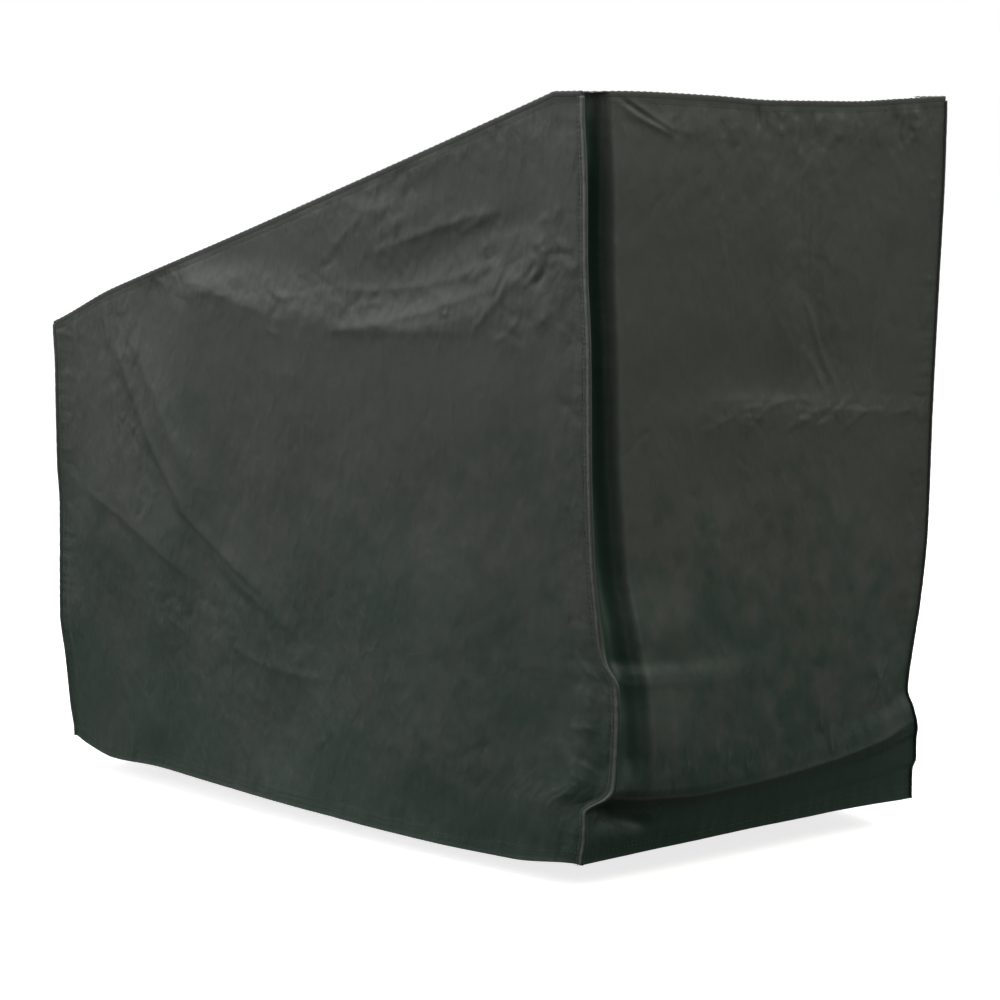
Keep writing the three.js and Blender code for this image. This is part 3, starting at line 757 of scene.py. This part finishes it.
def top_point(back, across):
    """Points of the top panel's outer face"""
    back, across = np.broadcast_arrays(np.asarray(back, float), np.asarray(across, float))
    point = between(side_point(NEAR, back, 1.0), side_point(FAR, back, 1.0), across / WIDTH)
    front_sag = read(FRONT_EDGES, "top", across)
    rear_sag = read(REAR_EDGES, "top", across)
    lift = fold_rise(TOP.folds, back, across)
    lift = lift * calm(SEAM_FLAT, SEAM_SOFT, back, LENGTH - back, across, WIDTH - across)
    edges = ((across, back), (WIDTH - across, back), (back, across), (LENGTH - back, across))
    lift = lift + fine_relief(TOP, back, across, None, *((*edge, 0.4) for edge in edges))
    sag = front_sag + (rear_sag - front_sag) * back / LENGTH
    return point + np.stack([0 * sag, 0 * sag, lift - sag], axis=-1)


def panel_of(kind, seed, folds, creases, crumples, **shape):
    """A panel of one kind, with short creases scattered over its crumpled places"""
    scattered = scattered_creases(crumples, seed)
    return kind(folds=folds, creases=creases, crumples=crumples, seed=seed, scattered=scattered, **shape)


NEAR = panel_of(
    Side, 11, NEAR_FOLDS, NEAR_CREASES, NEAR_CRUMPLES,
    sign=-1, front_corner=NEAR_FRONT_CORNER, rear_corner=NEAR_REAR_CORNER, hem=NEAR_HEM, tuck=NEAR_TUCK,
)
FAR = panel_of(
    Side, 23, FAR_FOLDS, FAR_CREASES, FAR_CRUMPLES,
    sign=1, front_corner=FAR_FRONT_CORNER, rear_corner=FAR_REAR_CORNER, hem=FAR_HEM, tuck=FAR_TUCK,
)
FRONT = panel_of(
    End, 37, FRONT_FOLDS, FRONT_CREASES, FRONT_CRUMPLES,
    back=0, outward=1, edges=FRONT_EDGES, swell=FRONT_SWELL, pleat=(PLEAT_RUN, FRONT_PLEAT), tuck_crest=1.8,
)
REAR = panel_of(
    End, 41, REAR_FOLDS, REAR_CREASES, REAR_CRUMPLES,
    back=LENGTH, outward=-1, edges=REAR_EDGES, swell=REAR_SWELL, pleat=None, tuck_crest=0.8,
)
TOP = panel_of(Top, 53, TOP_FOLDS, TOP_CREASES, TOP_CRUMPLES)


def to_frame(points):
    """Millimetres from the plan corner to metres in the part's own frame"""
    return (np.asarray(points) + np.array([ORIGIN_BACK, 0, -ORIGIN_HEIGHT])) * MM


def feed(tree, socket, value):
    """Links an output to a socket, or sets the socket's value"""
    if isinstance(value, bpy.types.NodeSocket):
        tree.links.new(value, socket)
    else:
        socket.default_value = value


def add_node(tree, kind, inputs=(), **settings):
    """A new node with its settings, fed by the names or numbers of its inputs"""
    node = tree.nodes.new(kind)
    for name, value in settings.items():
        setattr(node, name, value)
    for name, value in dict(inputs).items():
        feed(tree, node.inputs[name], value)
    return node


def math_node(tree, operation, *values):
    return add_node(tree, "ShaderNodeMath", enumerate(values), operation=operation).outputs[0]


def noise(tree, place, scale, detail, roughness, distortion=0.0, **settings):
    labels = ("Vector", "Scale", "Detail", "Roughness", "Distortion")
    inputs = zip(labels, (place, scale, detail, roughness, distortion))
    return add_node(tree, "ShaderNodeTexNoise", inputs, **settings).outputs[0]


def map_range(tree, value, source, target=(0.0, 1.0), **settings):
    """A value carried from one range to another and held to it"""
    labels = ("Value", "From Min", "From Max", "To Min", "To Max")
    inputs = zip(labels, (value, *source, *target))
    return add_node(tree, "ShaderNodeMapRange", inputs, **settings).outputs["Result"]


def mix_colour(tree, share, first, second):
    node = add_node(tree, "ShaderNodeMix", {"Factor": share}, data_type="RGBA")
    sockets = [socket for socket in node.inputs if socket.type == "RGBA"]
    for socket, value in zip(sockets, (first, second)):
        feed(tree, socket, value if isinstance(value, bpy.types.NodeSocket) else (*value, 1))
    return [socket for socket in node.outputs if socket.type == "RGBA"][0]


def bump(tree, height, distance, strength, **under):
    inputs = {"Height": height, "Distance": distance, "Strength": strength, **under}
    return add_node(tree, "ShaderNodeBump", inputs).outputs["Normal"]


def new_group(name, inputs, *outputs):
    """A shader node group: inputs by name, where None stands for a place, and named float outputs"""
    tree = bpy.data.node_groups.new(name, "ShaderNodeTree")
    for label, value in inputs.items():
        kind = "NodeSocketVector" if value is None else "NodeSocketFloat"
        socket = tree.interface.new_socket(label, in_out="INPUT", socket_type=kind)
        if value is not None:
            socket.default_value = value
    for label in outputs:
        tree.interface.new_socket(label, in_out="OUTPUT", socket_type="NodeSocketFloat")
    return tree, tree.nodes.new("NodeGroupInput").outputs, tree.nodes.new("NodeGroupOutput").inputs


def use_group(tree, group, **values):
    inputs = {name.replace("_", " ").capitalize(): value for name, value in values.items()}
    return add_node(tree, "ShaderNodeGroup", inputs, node_tree=group).outputs


def plain_weave_group():
    """Height of a plain weave: each thread passes over one thread and under the next"""
    tree, given, result = new_group("plain weave", {"Place": None, "Threads per metre": 1400.0}, "Height")

    def work(operation, *values):
        return math_node(tree, operation, *values)

    place = add_node(tree, "ShaderNodeSeparateXYZ", {0: given["Place"]}).outputs
    warp, weft = (work("MULTIPLY", place[axis], given["Threads per metre"]) for axis in "XY")
    crowns = [work("ABSOLUTE", work("SINE", work("MULTIPLY", thread, math.pi))) for thread in (warp, weft)]
    steps = work("ADD", work("FLOOR", warp), work("FLOOR", weft))
    over = work("MODULO", work("ABSOLUTE", steps), 2.0)
    under = work("SUBTRACT", 1.0, over)
    height = work("ADD", work("MULTIPLY", crowns[0], over), work("MULTIPLY", crowns[1], under))
    feed(tree, result["Height"], height)
    return tree


def crumple_group():
    """Height of crumpled coating: soft dents that cross at several angles, deeper where it is crumpled"""
    inputs = {"Place": None, "Amount": 0.3, "Dents per metre": 42.0}
    tree, given, result = new_group("crumpled coating", inputs, "Height")
    height = 0.0
    for turn in DENT_TURNS:
        turned = {"Vector": given["Place"], "Rotation": (0, 0, math.radians(turn)), "Scale": DENT_STRETCH}
        place = add_node(tree, "ShaderNodeMapping", turned).outputs["Vector"]
        dent = noise(tree, place, given["Dents per metre"], 1.5, 0.45, 0.4, noise_dimensions="2D")
        height = math_node(tree, "ADD", dent, height)
    feed(tree, result["Height"], math_node(tree, "MULTIPLY", height, given["Amount"]))
    return tree


def handling_and_light_group():
    """Marks of handling and painted light: broad mottle, fine crinkles, rub wear with a painted highlight on
    crests, and a painted sheen toward the top
    """
    inputs = {"Place": None, "Crest": 0.0, "Mottle scale": 3.0, "Crinkle scale": 16.0}
    tree, given, result = new_group("handling marks and painted light", inputs, "Mottle", "Crinkle", "Rub highlight", "Painted sheen")
    place = given["Place"]
    broken = math_node(tree, "MULTIPLY", noise(tree, place, 70.0, 3.0, 0.6), 1.8)
    crest = math_node(tree, "MULTIPLY", given["Crest"], broken)
    level = add_node(tree, "ShaderNodeSeparateXYZ", {0: place}).outputs["Z"]
    for scale, roughness in PAINTED_SHEEN_PATCHES:
        patches = noise(tree, place, scale, 3.0, roughness)
        level = math_node(tree, "MULTIPLY_ADD", patches, PAINTED_SHEEN_PATCH_HEIGHT, level)
    marks = {
        "Mottle": noise(tree, place, given["Mottle scale"], 4.0, 0.55),
        "Crinkle": noise(tree, place, given["Crinkle scale"], 5.0, 0.6, noise_type="RIDGED_MULTIFRACTAL"),
        "Rub highlight": math_node(tree, "MINIMUM", math_node(tree, "MAXIMUM", crest, 0.0), 1.0),
        "Painted sheen": map_range(tree, level, (PAINTED_SHEEN_LOW, PAINTED_SHEEN_HIGH), interpolation_type="SMOOTHSTEP"),
    }
    for name, value in marks.items():
        feed(tree, result[name], value)
    return tree


PLAIN_WEAVE = plain_weave_group()
CRUMPLED = crumple_group()
HANDLING_AND_LIGHT = handling_and_light_group()


def new_material(name):
    """A material with its node tree and the inputs of its shader"""
    material = bpy.data.materials.new(name)
    material.use_nodes = True
    return material, material.node_tree, material.node_tree.nodes["Principled BSDF"].inputs


def coated_cloth(name, dark, pale, painted_sheen_colour, rub_highlight_colour, smooth, dull, gloss):
    """Woven cloth under a thin coating: weave, crinkles, mottled colour, a painted sheen toward the top, and
    rub wear with a painted highlight on creases
    """
    material, tree, shader = new_material(name)
    crest, crumpled, painted_sheen_share = (
        add_node(tree, "ShaderNodeAttribute", attribute_name=mark).outputs["Fac"]
        for mark in ("crest", "crumpled", "painted_sheen_share")
    )
    cut = add_node(tree, "ShaderNodeUVMap", uv_map="cloth").outputs["UV"]
    place = add_node(tree, "ShaderNodeTexCoord").outputs["Object"]
    marks = use_group(tree, HANDLING_AND_LIGHT, place=place, crest=crest)
    dents = use_group(tree, CRUMPLED, place=cut, amount=crumpled)
    weave = use_group(tree, PLAIN_WEAVE, place=cut)
    # Painted sheen: a paler, greyer colour painted on toward the top, except where painted shade takes it
    # away
    weight = math_node(tree, "MULTIPLY", marks["Painted sheen"], painted_sheen_share)
    ground = mix_colour(tree, marks["Mottle"], dark, pale)
    ground = mix_colour(tree, math_node(tree, "MINIMUM", weight, 1.0), ground, painted_sheen_colour)
    normal = bump(tree, marks["Crinkle"], CRINKLE_DEPTH, 0.7)
    normal = bump(tree, dents["Height"], DENT_DEPTH, 1.0, Normal=normal)
    # Rub wear and a painted highlight: a paler colour on convex crests and proud seam beads
    feed(tree, shader["Base Color"], mix_colour(tree, marks["Rub highlight"], ground, rub_highlight_colour))
    feed(tree, shader["Roughness"], map_range(tree, marks["Mottle"], (0.3, 0.7), (smooth, dull)))
    feed(tree, shader["Specular IOR Level"], gloss)
    feed(tree, shader["Normal"], bump(tree, weave["Height"], WEAVE_DEPTH, 0.4, Normal=normal))
    return material


def plain_material(name, colour, roughness, mottle, gloss=0.5):
    """A matt surface whose colour wavers a little"""
    material, tree, shader = new_material(name)
    place = add_node(tree, "ShaderNodeTexCoord").outputs["Object"]
    marks = use_group(tree, HANDLING_AND_LIGHT, place=place)
    darker = tuple(channel * (1 - mottle) for channel in colour)
    feed(tree, shader["Base Color"], mix_colour(tree, marks["Mottle"], darker, colour))
    feed(tree, shader["Roughness"], roughness)
    feed(tree, shader["Specular IOR Level"], gloss)
    return material


def floor_material():
    """A pale floor that is lit from within, so that it shows as white"""
    material = plain_material("pale_floor", (0.8, 0.8, 0.8), 0.7, 0.02, gloss=0.2)
    shader = material.node_tree.nodes["Principled BSDF"].inputs
    shader["Emission Color"].default_value = WHITE
    shader["Emission Strength"].default_value = FLOOR_EMISSION
    return material


def build_materials():
    return {
        "cloth": coated_cloth(
            "coated_cloth",
            dark=(0.008, 0.027, 0.014),
            pale=(0.019, 0.047, 0.032),
            painted_sheen_colour=(0.053, 0.06, 0.05),
            rub_highlight_colour=(0.06, 0.075, 0.064),
            smooth=0.33,
            dull=0.44,
            gloss=0.42,
        ),
        # The seam's rub colour is mostly a painted highlight on the bead
        "seam": coated_cloth(
            "seam_cloth",
            dark=(0.016, 0.03, 0.02),
            pale=(0.026, 0.042, 0.031),
            painted_sheen_colour=(0.05, 0.054, 0.047),
            rub_highlight_colour=(0.14, 0.16, 0.145),
            smooth=0.36,
            dull=0.46,
            gloss=0.5,
        ),
        "thread": plain_material("thread", (0.055, 0.062, 0.054), 0.5, 0.3),
        "floor": floor_material(),
    }


def new_object(name, mesh):
    piece = bpy.data.objects.new(name, mesh)
    bpy.context.scene.collection.objects.link(piece)
    return piece


def apply_modifiers(piece):
    """Gives a piece the mesh that its modifiers make, and removes them"""
    depsgraph = bpy.context.evaluated_depsgraph_get()
    evaluated = piece.evaluated_get(depsgraph)
    mesh = bpy.data.meshes.new_from_object(evaluated, preserve_all_data_layers=True, depsgraph=depsgraph)
    mesh.name = piece.name
    piece.modifiers.clear()
    piece.data = mesh


def crest_of(depth):
    """How far each place of a grid stands out from the places around it, as a share of a sharp crease"""
    padded = np.pad(depth, 1, mode="edge")
    around = (padded[:-2, 1:-1] + padded[2:, 1:-1] + padded[1:-1, :-2] + padded[1:-1, 2:]) / 4
    return np.clip((depth - around) / FULL_CREST, -1, 1)


def inner_face(outer, axis, sign):
    """The inner face on a third of the grid lines, pressed in wherever the outer face dips between them"""
    depth = outer[..., axis] * sign
    inner = outer[::INNER_STEP, ::INNER_STEP].copy()
    columns, rows = (np.arange(count) / INNER_STEP for count in depth.shape)
    sparse = depth[::INNER_STEP, ::INNER_STEP]
    spread = np.array([np.interp(columns, np.arange(sparse.shape[0]), row) for row in sparse.T])
    spread = np.array([np.interp(rows, np.arange(sparse.shape[1]), column) for column in spread.T])
    dip = np.pad(np.maximum(0, spread - depth), INNER_STEP)
    width = 2 * INNER_STEP + 1
    windows = np.lib.stride_tricks.sliding_window_view(dip, (width, width))
    press = windows[::INNER_STEP, ::INNER_STEP].max(axis=(-1, -2))
    inner[..., axis] -= sign * (CLOTH + press)
    return inner


def grid_quads(corner):
    sides = (corner[:-1, :-1], corner[1:, :-1], corner[1:, 1:], corner[:-1, 1:])
    return np.stack(sides, axis=-1).reshape(-1, 4)


def border(corner):
    """A grid's border, once round and back to its start"""
    parts = (corner[:-1, 0], corner[-1, :-1], corner[:0:-1, -1], corner[0, :0:-1], corner[:1, 0])
    return np.concatenate(parts).tolist()


def finish_cloth(mesh, cut, marks, material):
    """Gives a mesh of cloth its flat-cut coordinates in metres, its marks of use and of painted light, and
    its material
    """
    uv = mesh.uv_layers.new(name="cloth")
    corners = np.empty(len(mesh.loops), int)
    mesh.loops.foreach_get("vertex_index", corners)
    uv.data.foreach_set("uv", (cut[corners] * MM).ravel().astype(np.float32))
    for name, values in marks.items():
        attribute = mesh.attributes.new(name, "FLOAT", "POINT")
        attribute.data.foreach_set("value", values.astype(np.float32))
    mesh.materials.append(material)
    mesh.shade_smooth()


def cloth_panel(name, panel, outer, cut, painted_sheen_share, axis, sign, material):
    """A thin closed sheet of cloth behind a grid of points of its outer face"""
    inner = inner_face(outer, axis, sign)
    corner = np.arange(outer[..., 0].size).reshape(outer.shape[:2])
    inner_corner = corner.size + np.arange(inner[..., 0].size).reshape(inner.shape[:2])
    faces = grid_quads(corner).tolist() + grid_quads(inner_corner)[:, ::-1].tolist()
    rim = border(corner)
    inner_rim = border(inner_corner)
    for number in range(len(inner_rim) - 1):
        start, after = inner_rim[number : number + 2]
        first, second, third, fourth = rim[INNER_STEP * number : INNER_STEP * (number + 1) + 1]
        faces += [(second, first, start), (third, second, start, after), (fourth, third, after)]
    points = np.concatenate([to_frame(outer).reshape(-1, 3), to_frame(inner).reshape(-1, 3)])
    mesh = bpy.data.meshes.new(f"{name}_cloth")
    mesh.from_pydata(points.tolist(), [], faces)
    turn_outward(mesh)
    # Convex crests get rub wear and a painted highlight in the material
    crest = crest_of(outer[..., axis] * sign)
    sparse = slice(None, None, INNER_STEP)
    crumpled = DENTS_EVERYWHERE + (1 - DENTS_EVERYWHERE) * crumpling(panel, cut[..., 0], cut[..., 1])
    places = np.concatenate([cut.reshape(-1, 2), cut[sparse, sparse].reshape(-1, 2)])
    marks = {"crest": crest, "crumpled": crumpled, "painted_sheen_share": painted_sheen_share + 0 * crest}
    for mark, fine in marks.items():
        marks[mark] = np.concatenate([fine.ravel(), fine[sparse, sparse].ravel()])
    finish_cloth(mesh, places, marks, material)
    mesh.set_sharp_from_angle(angle=math.radians(60))
    piece = new_object(f"{name}_cloth", mesh)
    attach(piece, "root")
    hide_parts(f"{name}_panel")
    return piece


def build_panels(cloth):
    panels = {}
    for name, side, (columns, levels) in (("near_side", NEAR, NEAR_GRID), ("far_side", FAR, FAR_GRID)):
        back = columns[:, None]
        outer = side_point(side, back, levels[None, :])
        cut = np.stack([back + 0 * outer[..., 2], outer[..., 2]], axis=-1)
        panels[name] = cloth_panel(name, side, outer, cut, 1, 1, side.sign, cloth)
    for name, end, (columns, levels) in (("front", FRONT, FRONT_GRID), ("rear", REAR, REAR_GRID)):
        across = columns[:, None]
        outer = end_point(end, across, levels[None, :])
        cut = np.stack([across + 0 * outer[..., 2], outer[..., 2]], axis=-1)
        # Painted sheen of the front and rear, with painted shade in the pleat and below the tuck line
        shares = end_painted_sheen_share(end, across, outer[..., 2], levels[None, :])
        panels[name] = cloth_panel(name, end, outer, cut, shares, 0, end.outward, cloth)
    back, across = np.meshgrid(*TOP_GRID, indexing="ij")
    outer = top_point(back, across)
    cut = np.stack([back, across], axis=-1)
    panels["top"] = cloth_panel("top", TOP, outer, cut, 1, 2, 1, cloth)
    return panels


def seam_runs():
    """Where each seam runs along a panel, and which ways are out of the panel and over its edge"""
    sloping = np.linspace(0, LENGTH, round(LENGTH / SEAM_STATION))
    below_top = 1 - SEAM_END * (1 - TUCK_LEVEL) / REAR_HEIGHT
    upright = np.linspace(0, below_top, round(FRONT_HEIGHT / SEAM_STATION))
    level_run = np.linspace(SEAM_END / 2, WIDTH - SEAM_END / 2, round(WIDTH / SEAM_STATION))
    one_row = (SEAM_STITCH,)
    two_rows = (FELL_STITCH, SEAM_STITCH)
    runs = {}
    for name, side in (("near", NEAR), ("far", FAR)):

        def front_place(level, off, side=side):
            return side_point(side, off, level)

        def rear_place(level, off, side=side):
            return side_point(side, LENGTH - off, level)

        def top_place(back, off, side=side):
            tuck = read(side.tuck, "height", back)
            return side_point(side, back, 1 - off * (1 - TUCK_LEVEL) / (top_edge(back) - tuck))

        out = (0, side.sign, 0)
        runs[f"{name}_front_seam"] = SeamRun(front_place, upright, out, (1, 0, 0), FELL_SEAM, two_rows)
        runs[f"{name}_rear_seam"] = SeamRun(rear_place, upright, out, (-1, 0, 0), PIPED_SEAM, one_row)
        runs[f"{name}_top_seam"] = SeamRun(top_place, sloping, out, (0, 0, 1), SLIM_SEAM, one_row)
    for name, end, height in (("front", FRONT, FRONT_HEIGHT), ("rear", REAR, REAR_HEIGHT)):

        def end_place(across, off, end=end, height=height):
            return end_point(end, across, 1 - off / height)

        out = (end.outward, 0, 0)
        runs[f"{name}_top_seam"] = SeamRun(end_place, level_run, out, (0, 0, 1), SLIM_SEAM, one_row)
    return runs


def seam_strip(node, run, material, seed):
    """A folded and stitched seam, swept along a panel's edge"""
    stations = run.stations[None, :]
    length = run.stations * (FRONT_HEIGHT if run.stations[-1] <= 1 else 1)
    off = run.profile[:, :1] + 0 * stations
    proud = run.profile[:, 1:] + 0 * stations
    ripple = 1 + SEAM_RIPPLE * uneven_wave(length, RIPPLE_LENGTHS, seed)
    proud = np.where(proud > 0, proud * ripple, proud)
    over = np.maximum(-off, 0)
    if run.profile is SLIM_SEAM:
        over = over * (1 + SCALLOP_RISE * np.sin(math.pi * length / SCALLOP_PITCH) ** 2)
    loops = run.place(stations, np.maximum(off, 0))
    loops = loops + np.array(run.edge) * over[..., None] + np.array(run.out) * proud[..., None]
    corner = np.arange(loops[..., 0].size).reshape(loops.shape[:2])
    faces = grid_quads(np.concatenate([corner, corner[:1]])).tolist()
    faces += [corner[::-1, 0].tolist(), corner[:, -1].tolist()]
    mesh = bpy.data.meshes.new(node)
    mesh.from_pydata(to_frame(loops).reshape(-1, 3).tolist(), [], faces)
    turn_outward(mesh)
    cut = np.stack([off, length[None, :] + 0 * off], axis=-1).reshape(-1, 2)
    height = loops[..., 2]
    # Rub wear and a painted highlight on the proud bead, painted brighter higher up
    rub_highlight = np.clip(run.profile[:, 1:] / RUB_HIGHLIGHT_PROUD, 0, 1)
    rub_highlight = rub_highlight * (LOW_RUB_HIGHLIGHT_SHARE + (1 - LOW_RUB_HIGHLIGHT_SHARE) * smoothstep(height, *RUB_HIGHLIGHT_HEIGHTS))
    even = np.ones(rub_highlight.size)
    marks = {"crest": rub_highlight.ravel(), "crumpled": DENTS_EVERYWHERE * even, "painted_sheen_share": even}
    finish_cloth(mesh, cut, marks, material)
    piece = new_object(f"{node}_strip", mesh)
    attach(piece, "root")
    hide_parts(node)
    return piece


def turn_outward(mesh):
    """Turns a closed mesh's faces so that they point out"""
    mesh.calc_loop_triangles()
    corners = np.empty(3 * len(mesh.loop_triangles), int)
    mesh.loop_triangles.foreach_get("vertices", corners)
    points = np.empty(3 * len(mesh.vertices))
    mesh.vertices.foreach_get("co", points)
    first, second, third = points.reshape(-1, 3)[corners.reshape(-1, 3)].transpose(1, 0, 2)
    if (first * np.cross(second, third)).sum() < 0:
        mesh.flip_normals()


def stitch_rows_tree(material):
    """Geometry Nodes: small rounded stitches set along the edges of a mesh of lines"""
    tree = bpy.data.node_groups.new("stitch rows", "GeometryNodeTree")
    tree.interface.new_socket("Geometry", in_out="INPUT", socket_type="NodeSocketGeometry")
    named = (
        ("Pitch", "Float", 0.007),
        ("Stitch length", "Float", 0.0046),
        ("Stitch width", "Float", 0.0009),
        ("Seed", "Int", 3),
    )
    for label, kind, value in named:
        socket = tree.interface.new_socket(label, in_out="INPUT", socket_type=f"NodeSocket{kind}")
        socket.default_value = value
    tree.interface.new_socket("Geometry", in_out="OUTPUT", socket_type="NodeSocketGeometry")

    def add(kind, output, inputs=(), **settings):
        return add_node(tree, kind, inputs, **settings).outputs[output]

    given = tree.nodes.new("NodeGroupInput").outputs
    width = given["Stitch width"]
    curve = add("GeometryNodeMeshToCurve", "Curve", {"Mesh": given["Geometry"]})
    spacing = {"Curve": curve, "Length": given["Pitch"]}
    spaced = add("GeometryNodeResampleCurve", "Curve", spacing, mode="LENGTH")
    tangent = add("GeometryNodeInputTangent", "Tangent")
    turn = add("FunctionNodeAlignRotationToVector", "Rotation", {"Vector": tangent}, axis="X")
    ball = add("GeometryNodeMeshUVSphere", "Mesh", {"Segments": 6, "Rings": 5, "Radius": 0.5})
    size = add("ShaderNodeCombineXYZ", "Vector", {"X": given["Stitch length"], "Y": width, "Z": width})
    stitch = add("GeometryNodeTransform", "Geometry", {"Geometry": ball, "Scale": size})
    uneven = add_node(tree, "FunctionNodeRandomValue", {"Seed": given["Seed"]}, data_type="FLOAT")
    low, high = [socket for socket in uneven.inputs if socket.type == "VALUE"][:2]
    low.default_value, high.default_value = STITCH_SIZES
    scale = [socket for socket in uneven.outputs if socket.type == "VALUE"][0]
    places = {"Points": spaced, "Instance": stitch, "Rotation": turn, "Scale": scale}
    placed = add("GeometryNodeInstanceOnPoints", "Instances", places)
    real = add("GeometryNodeRealizeInstances", "Geometry", {"Geometry": placed})
    finish = add("GeometryNodeSetMaterial", "Geometry", {"Geometry": real, "Material": material})
    add_node(tree, "NodeGroupOutput", {"Geometry": finish})
    return tree


def stitches(name, rows, tree, pitch, length):
    """Rows of stitches along lists of points, as one plain mesh"""
    points = []
    edges = []
    for row in rows:
        start = len(points)
        points.extend(to_frame(row).tolist())
        edges.extend((index, index + 1) for index in range(start, len(points) - 1))
    mesh = bpy.data.meshes.new(name)
    mesh.from_pydata(points, edges, [])
    piece = new_object(name, mesh)
    modifier = piece.modifiers.new("stitches", "NODES")
    modifier.node_group = tree
    values = {"Pitch": pitch, "Stitch length": length}
    for item in tree.interface.items_tree:
        if item.in_out == "INPUT" and item.name in values:
            modifier[item.identifier] = values[item.name]
    apply_modifiers(piece)
    piece.data.shade_smooth()
    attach(piece, "root")


def hem_rows():
    """Lines along which the four hems are stitched"""
    rows = []
    for side in (NEAR, FAR):
        back = np.linspace(HEM_ROW_END, LENGTH - HEM_ROW_END, 330)
        room = read(side.tuck, "height", back) - read(side.hem, "height", back)
        row = side_point(side, back, TUCK_LEVEL * HEM_STITCH / room)
        rows.append(row + HEM_THREAD_PROUD * np.array([0, side.sign, 0]))
    for end, room in ((FRONT, 100), (REAR, 62)):
        across = np.linspace(HEM_ROW_END, WIDTH - HEM_ROW_END, 190)
        row = end_point(end, across, TUCK_LEVEL * HEM_STITCH / room)
        rows.append(row + HEM_THREAD_PROUD * np.array([end.outward, 0, 0]))
    return rows


def build_seams(materials):
    strips = {}
    rows = []
    for number, (node, run) in enumerate(seam_runs().items()):
        strips[node] = seam_strip(node, run, materials["seam"], 71 + number)
        for off in run.stitches:
            rows.append(run.place(run.stations, off) + THREAD_PROUD[off] * np.array(run.out))
    tree = stitch_rows_tree(materials["thread"])
    stitches("seam_stitches", rows, tree, pitch=0.007, length=0.0046)
    stitches("hem_stitches", hem_rows(), tree, pitch=0.0075, length=0.005)
    return strips


def build_stage(material):
    level = cad_box[0][2] - FLOOR_GAP * MM
    half = FLOOR_HALF
    places = [(-half, -half, level), (half, -half, level), (half, half, level), (-half, half, level)]
    mesh = bpy.data.meshes.new("floor")
    mesh.from_pydata(places, [], [(0, 1, 2, 3)])
    mesh.materials.append(material)
    floor = new_object("floor", mesh)
    floor.visible_diffuse = False
    floor.visible_glossy = False


def build_lights():
    """Softboxes to the left, right, overhead and behind"""
    for lamp in LAMPS:
        data = bpy.data.lights.new(lamp.name, "AREA")
        data.shape = "RECTANGLE"
        data.size, data.size_y = lamp.size
        data.energy = lamp.power
        data.color = lamp.colour
        data.spread = math.radians(lamp.spread)
        light = new_object(lamp.name, data)
        light.location = lamp.place
        light.rotation_euler = (Vector(lamp.aim) - light.location).to_track_quat("-Z", "Y").to_euler()


def build_world():
    """A world that is white to look at but dim as a light, most of all behind the camera"""
    world = bpy.data.worlds.new("studio")
    bpy.context.scene.world = world
    world.use_nodes = True
    tree = world.node_tree
    seen = tree.nodes["Background"]
    seen.inputs["Color"].default_value = WHITE
    way = add_node(tree, "ShaderNodeTexCoord").outputs["Generated"]
    up = add_node(tree, "ShaderNodeSeparateXYZ", {0: way}).outputs["Z"]
    rising = map_range(tree, up, (-0.35, 0.35), (WORLD_LOW, WORLD_HIGH))
    ways = {0: way, 1: WAY_TO_CAMERA}
    facing = add_node(tree, "ShaderNodeVectorMath", ways, operation="DOT_PRODUCT").outputs["Value"]
    shade = map_range(tree, facing, (0.2, 1), (1, WORLD_BEHIND_CAMERA))
    strength = math_node(tree, "MULTIPLY", rising, shade)
    lit = add_node(tree, "ShaderNodeBackground", {"Color": WHITE, "Strength": strength})
    camera_ray = add_node(tree, "ShaderNodeLightPath").outputs["Is Camera Ray"]
    mix = add_node(tree, "ShaderNodeMixShader", {0: camera_ray, 1: lit.outputs[0], 2: seen.outputs[0]})
    feed(tree, tree.nodes["World Output"].inputs["Surface"], mix.outputs[0])
    bpy.context.scene.view_settings.view_transform = "Standard"


def build_camera():
    azimuth = math.radians(CAMERA_AZIMUTH)
    pitch = math.radians(CAMERA_PITCH)
    view = Vector(
        (-math.sin(azimuth) * math.cos(pitch), math.cos(azimuth) * math.cos(pitch), -math.sin(pitch))
    )
    data = bpy.data.cameras.new("camera")
    data.lens = CAMERA_LENS
    data.sensor_width = 36
    data.clip_end = 200
    camera = bpy.data.objects.new("camera", data)
    camera.location = Vector(CAMERA_PLACE) * MM
    camera.rotation_euler = view.to_track_quat("-Z", "Y").to_euler()
    bpy.context.scene.collection.objects.link(camera)
    bpy.context.scene.camera = camera


build_camera()
materials = build_materials()
panels = build_panels(materials["cloth"])
strips = build_seams(materials)
build_stage(materials["floor"])
build_lights()
build_world()
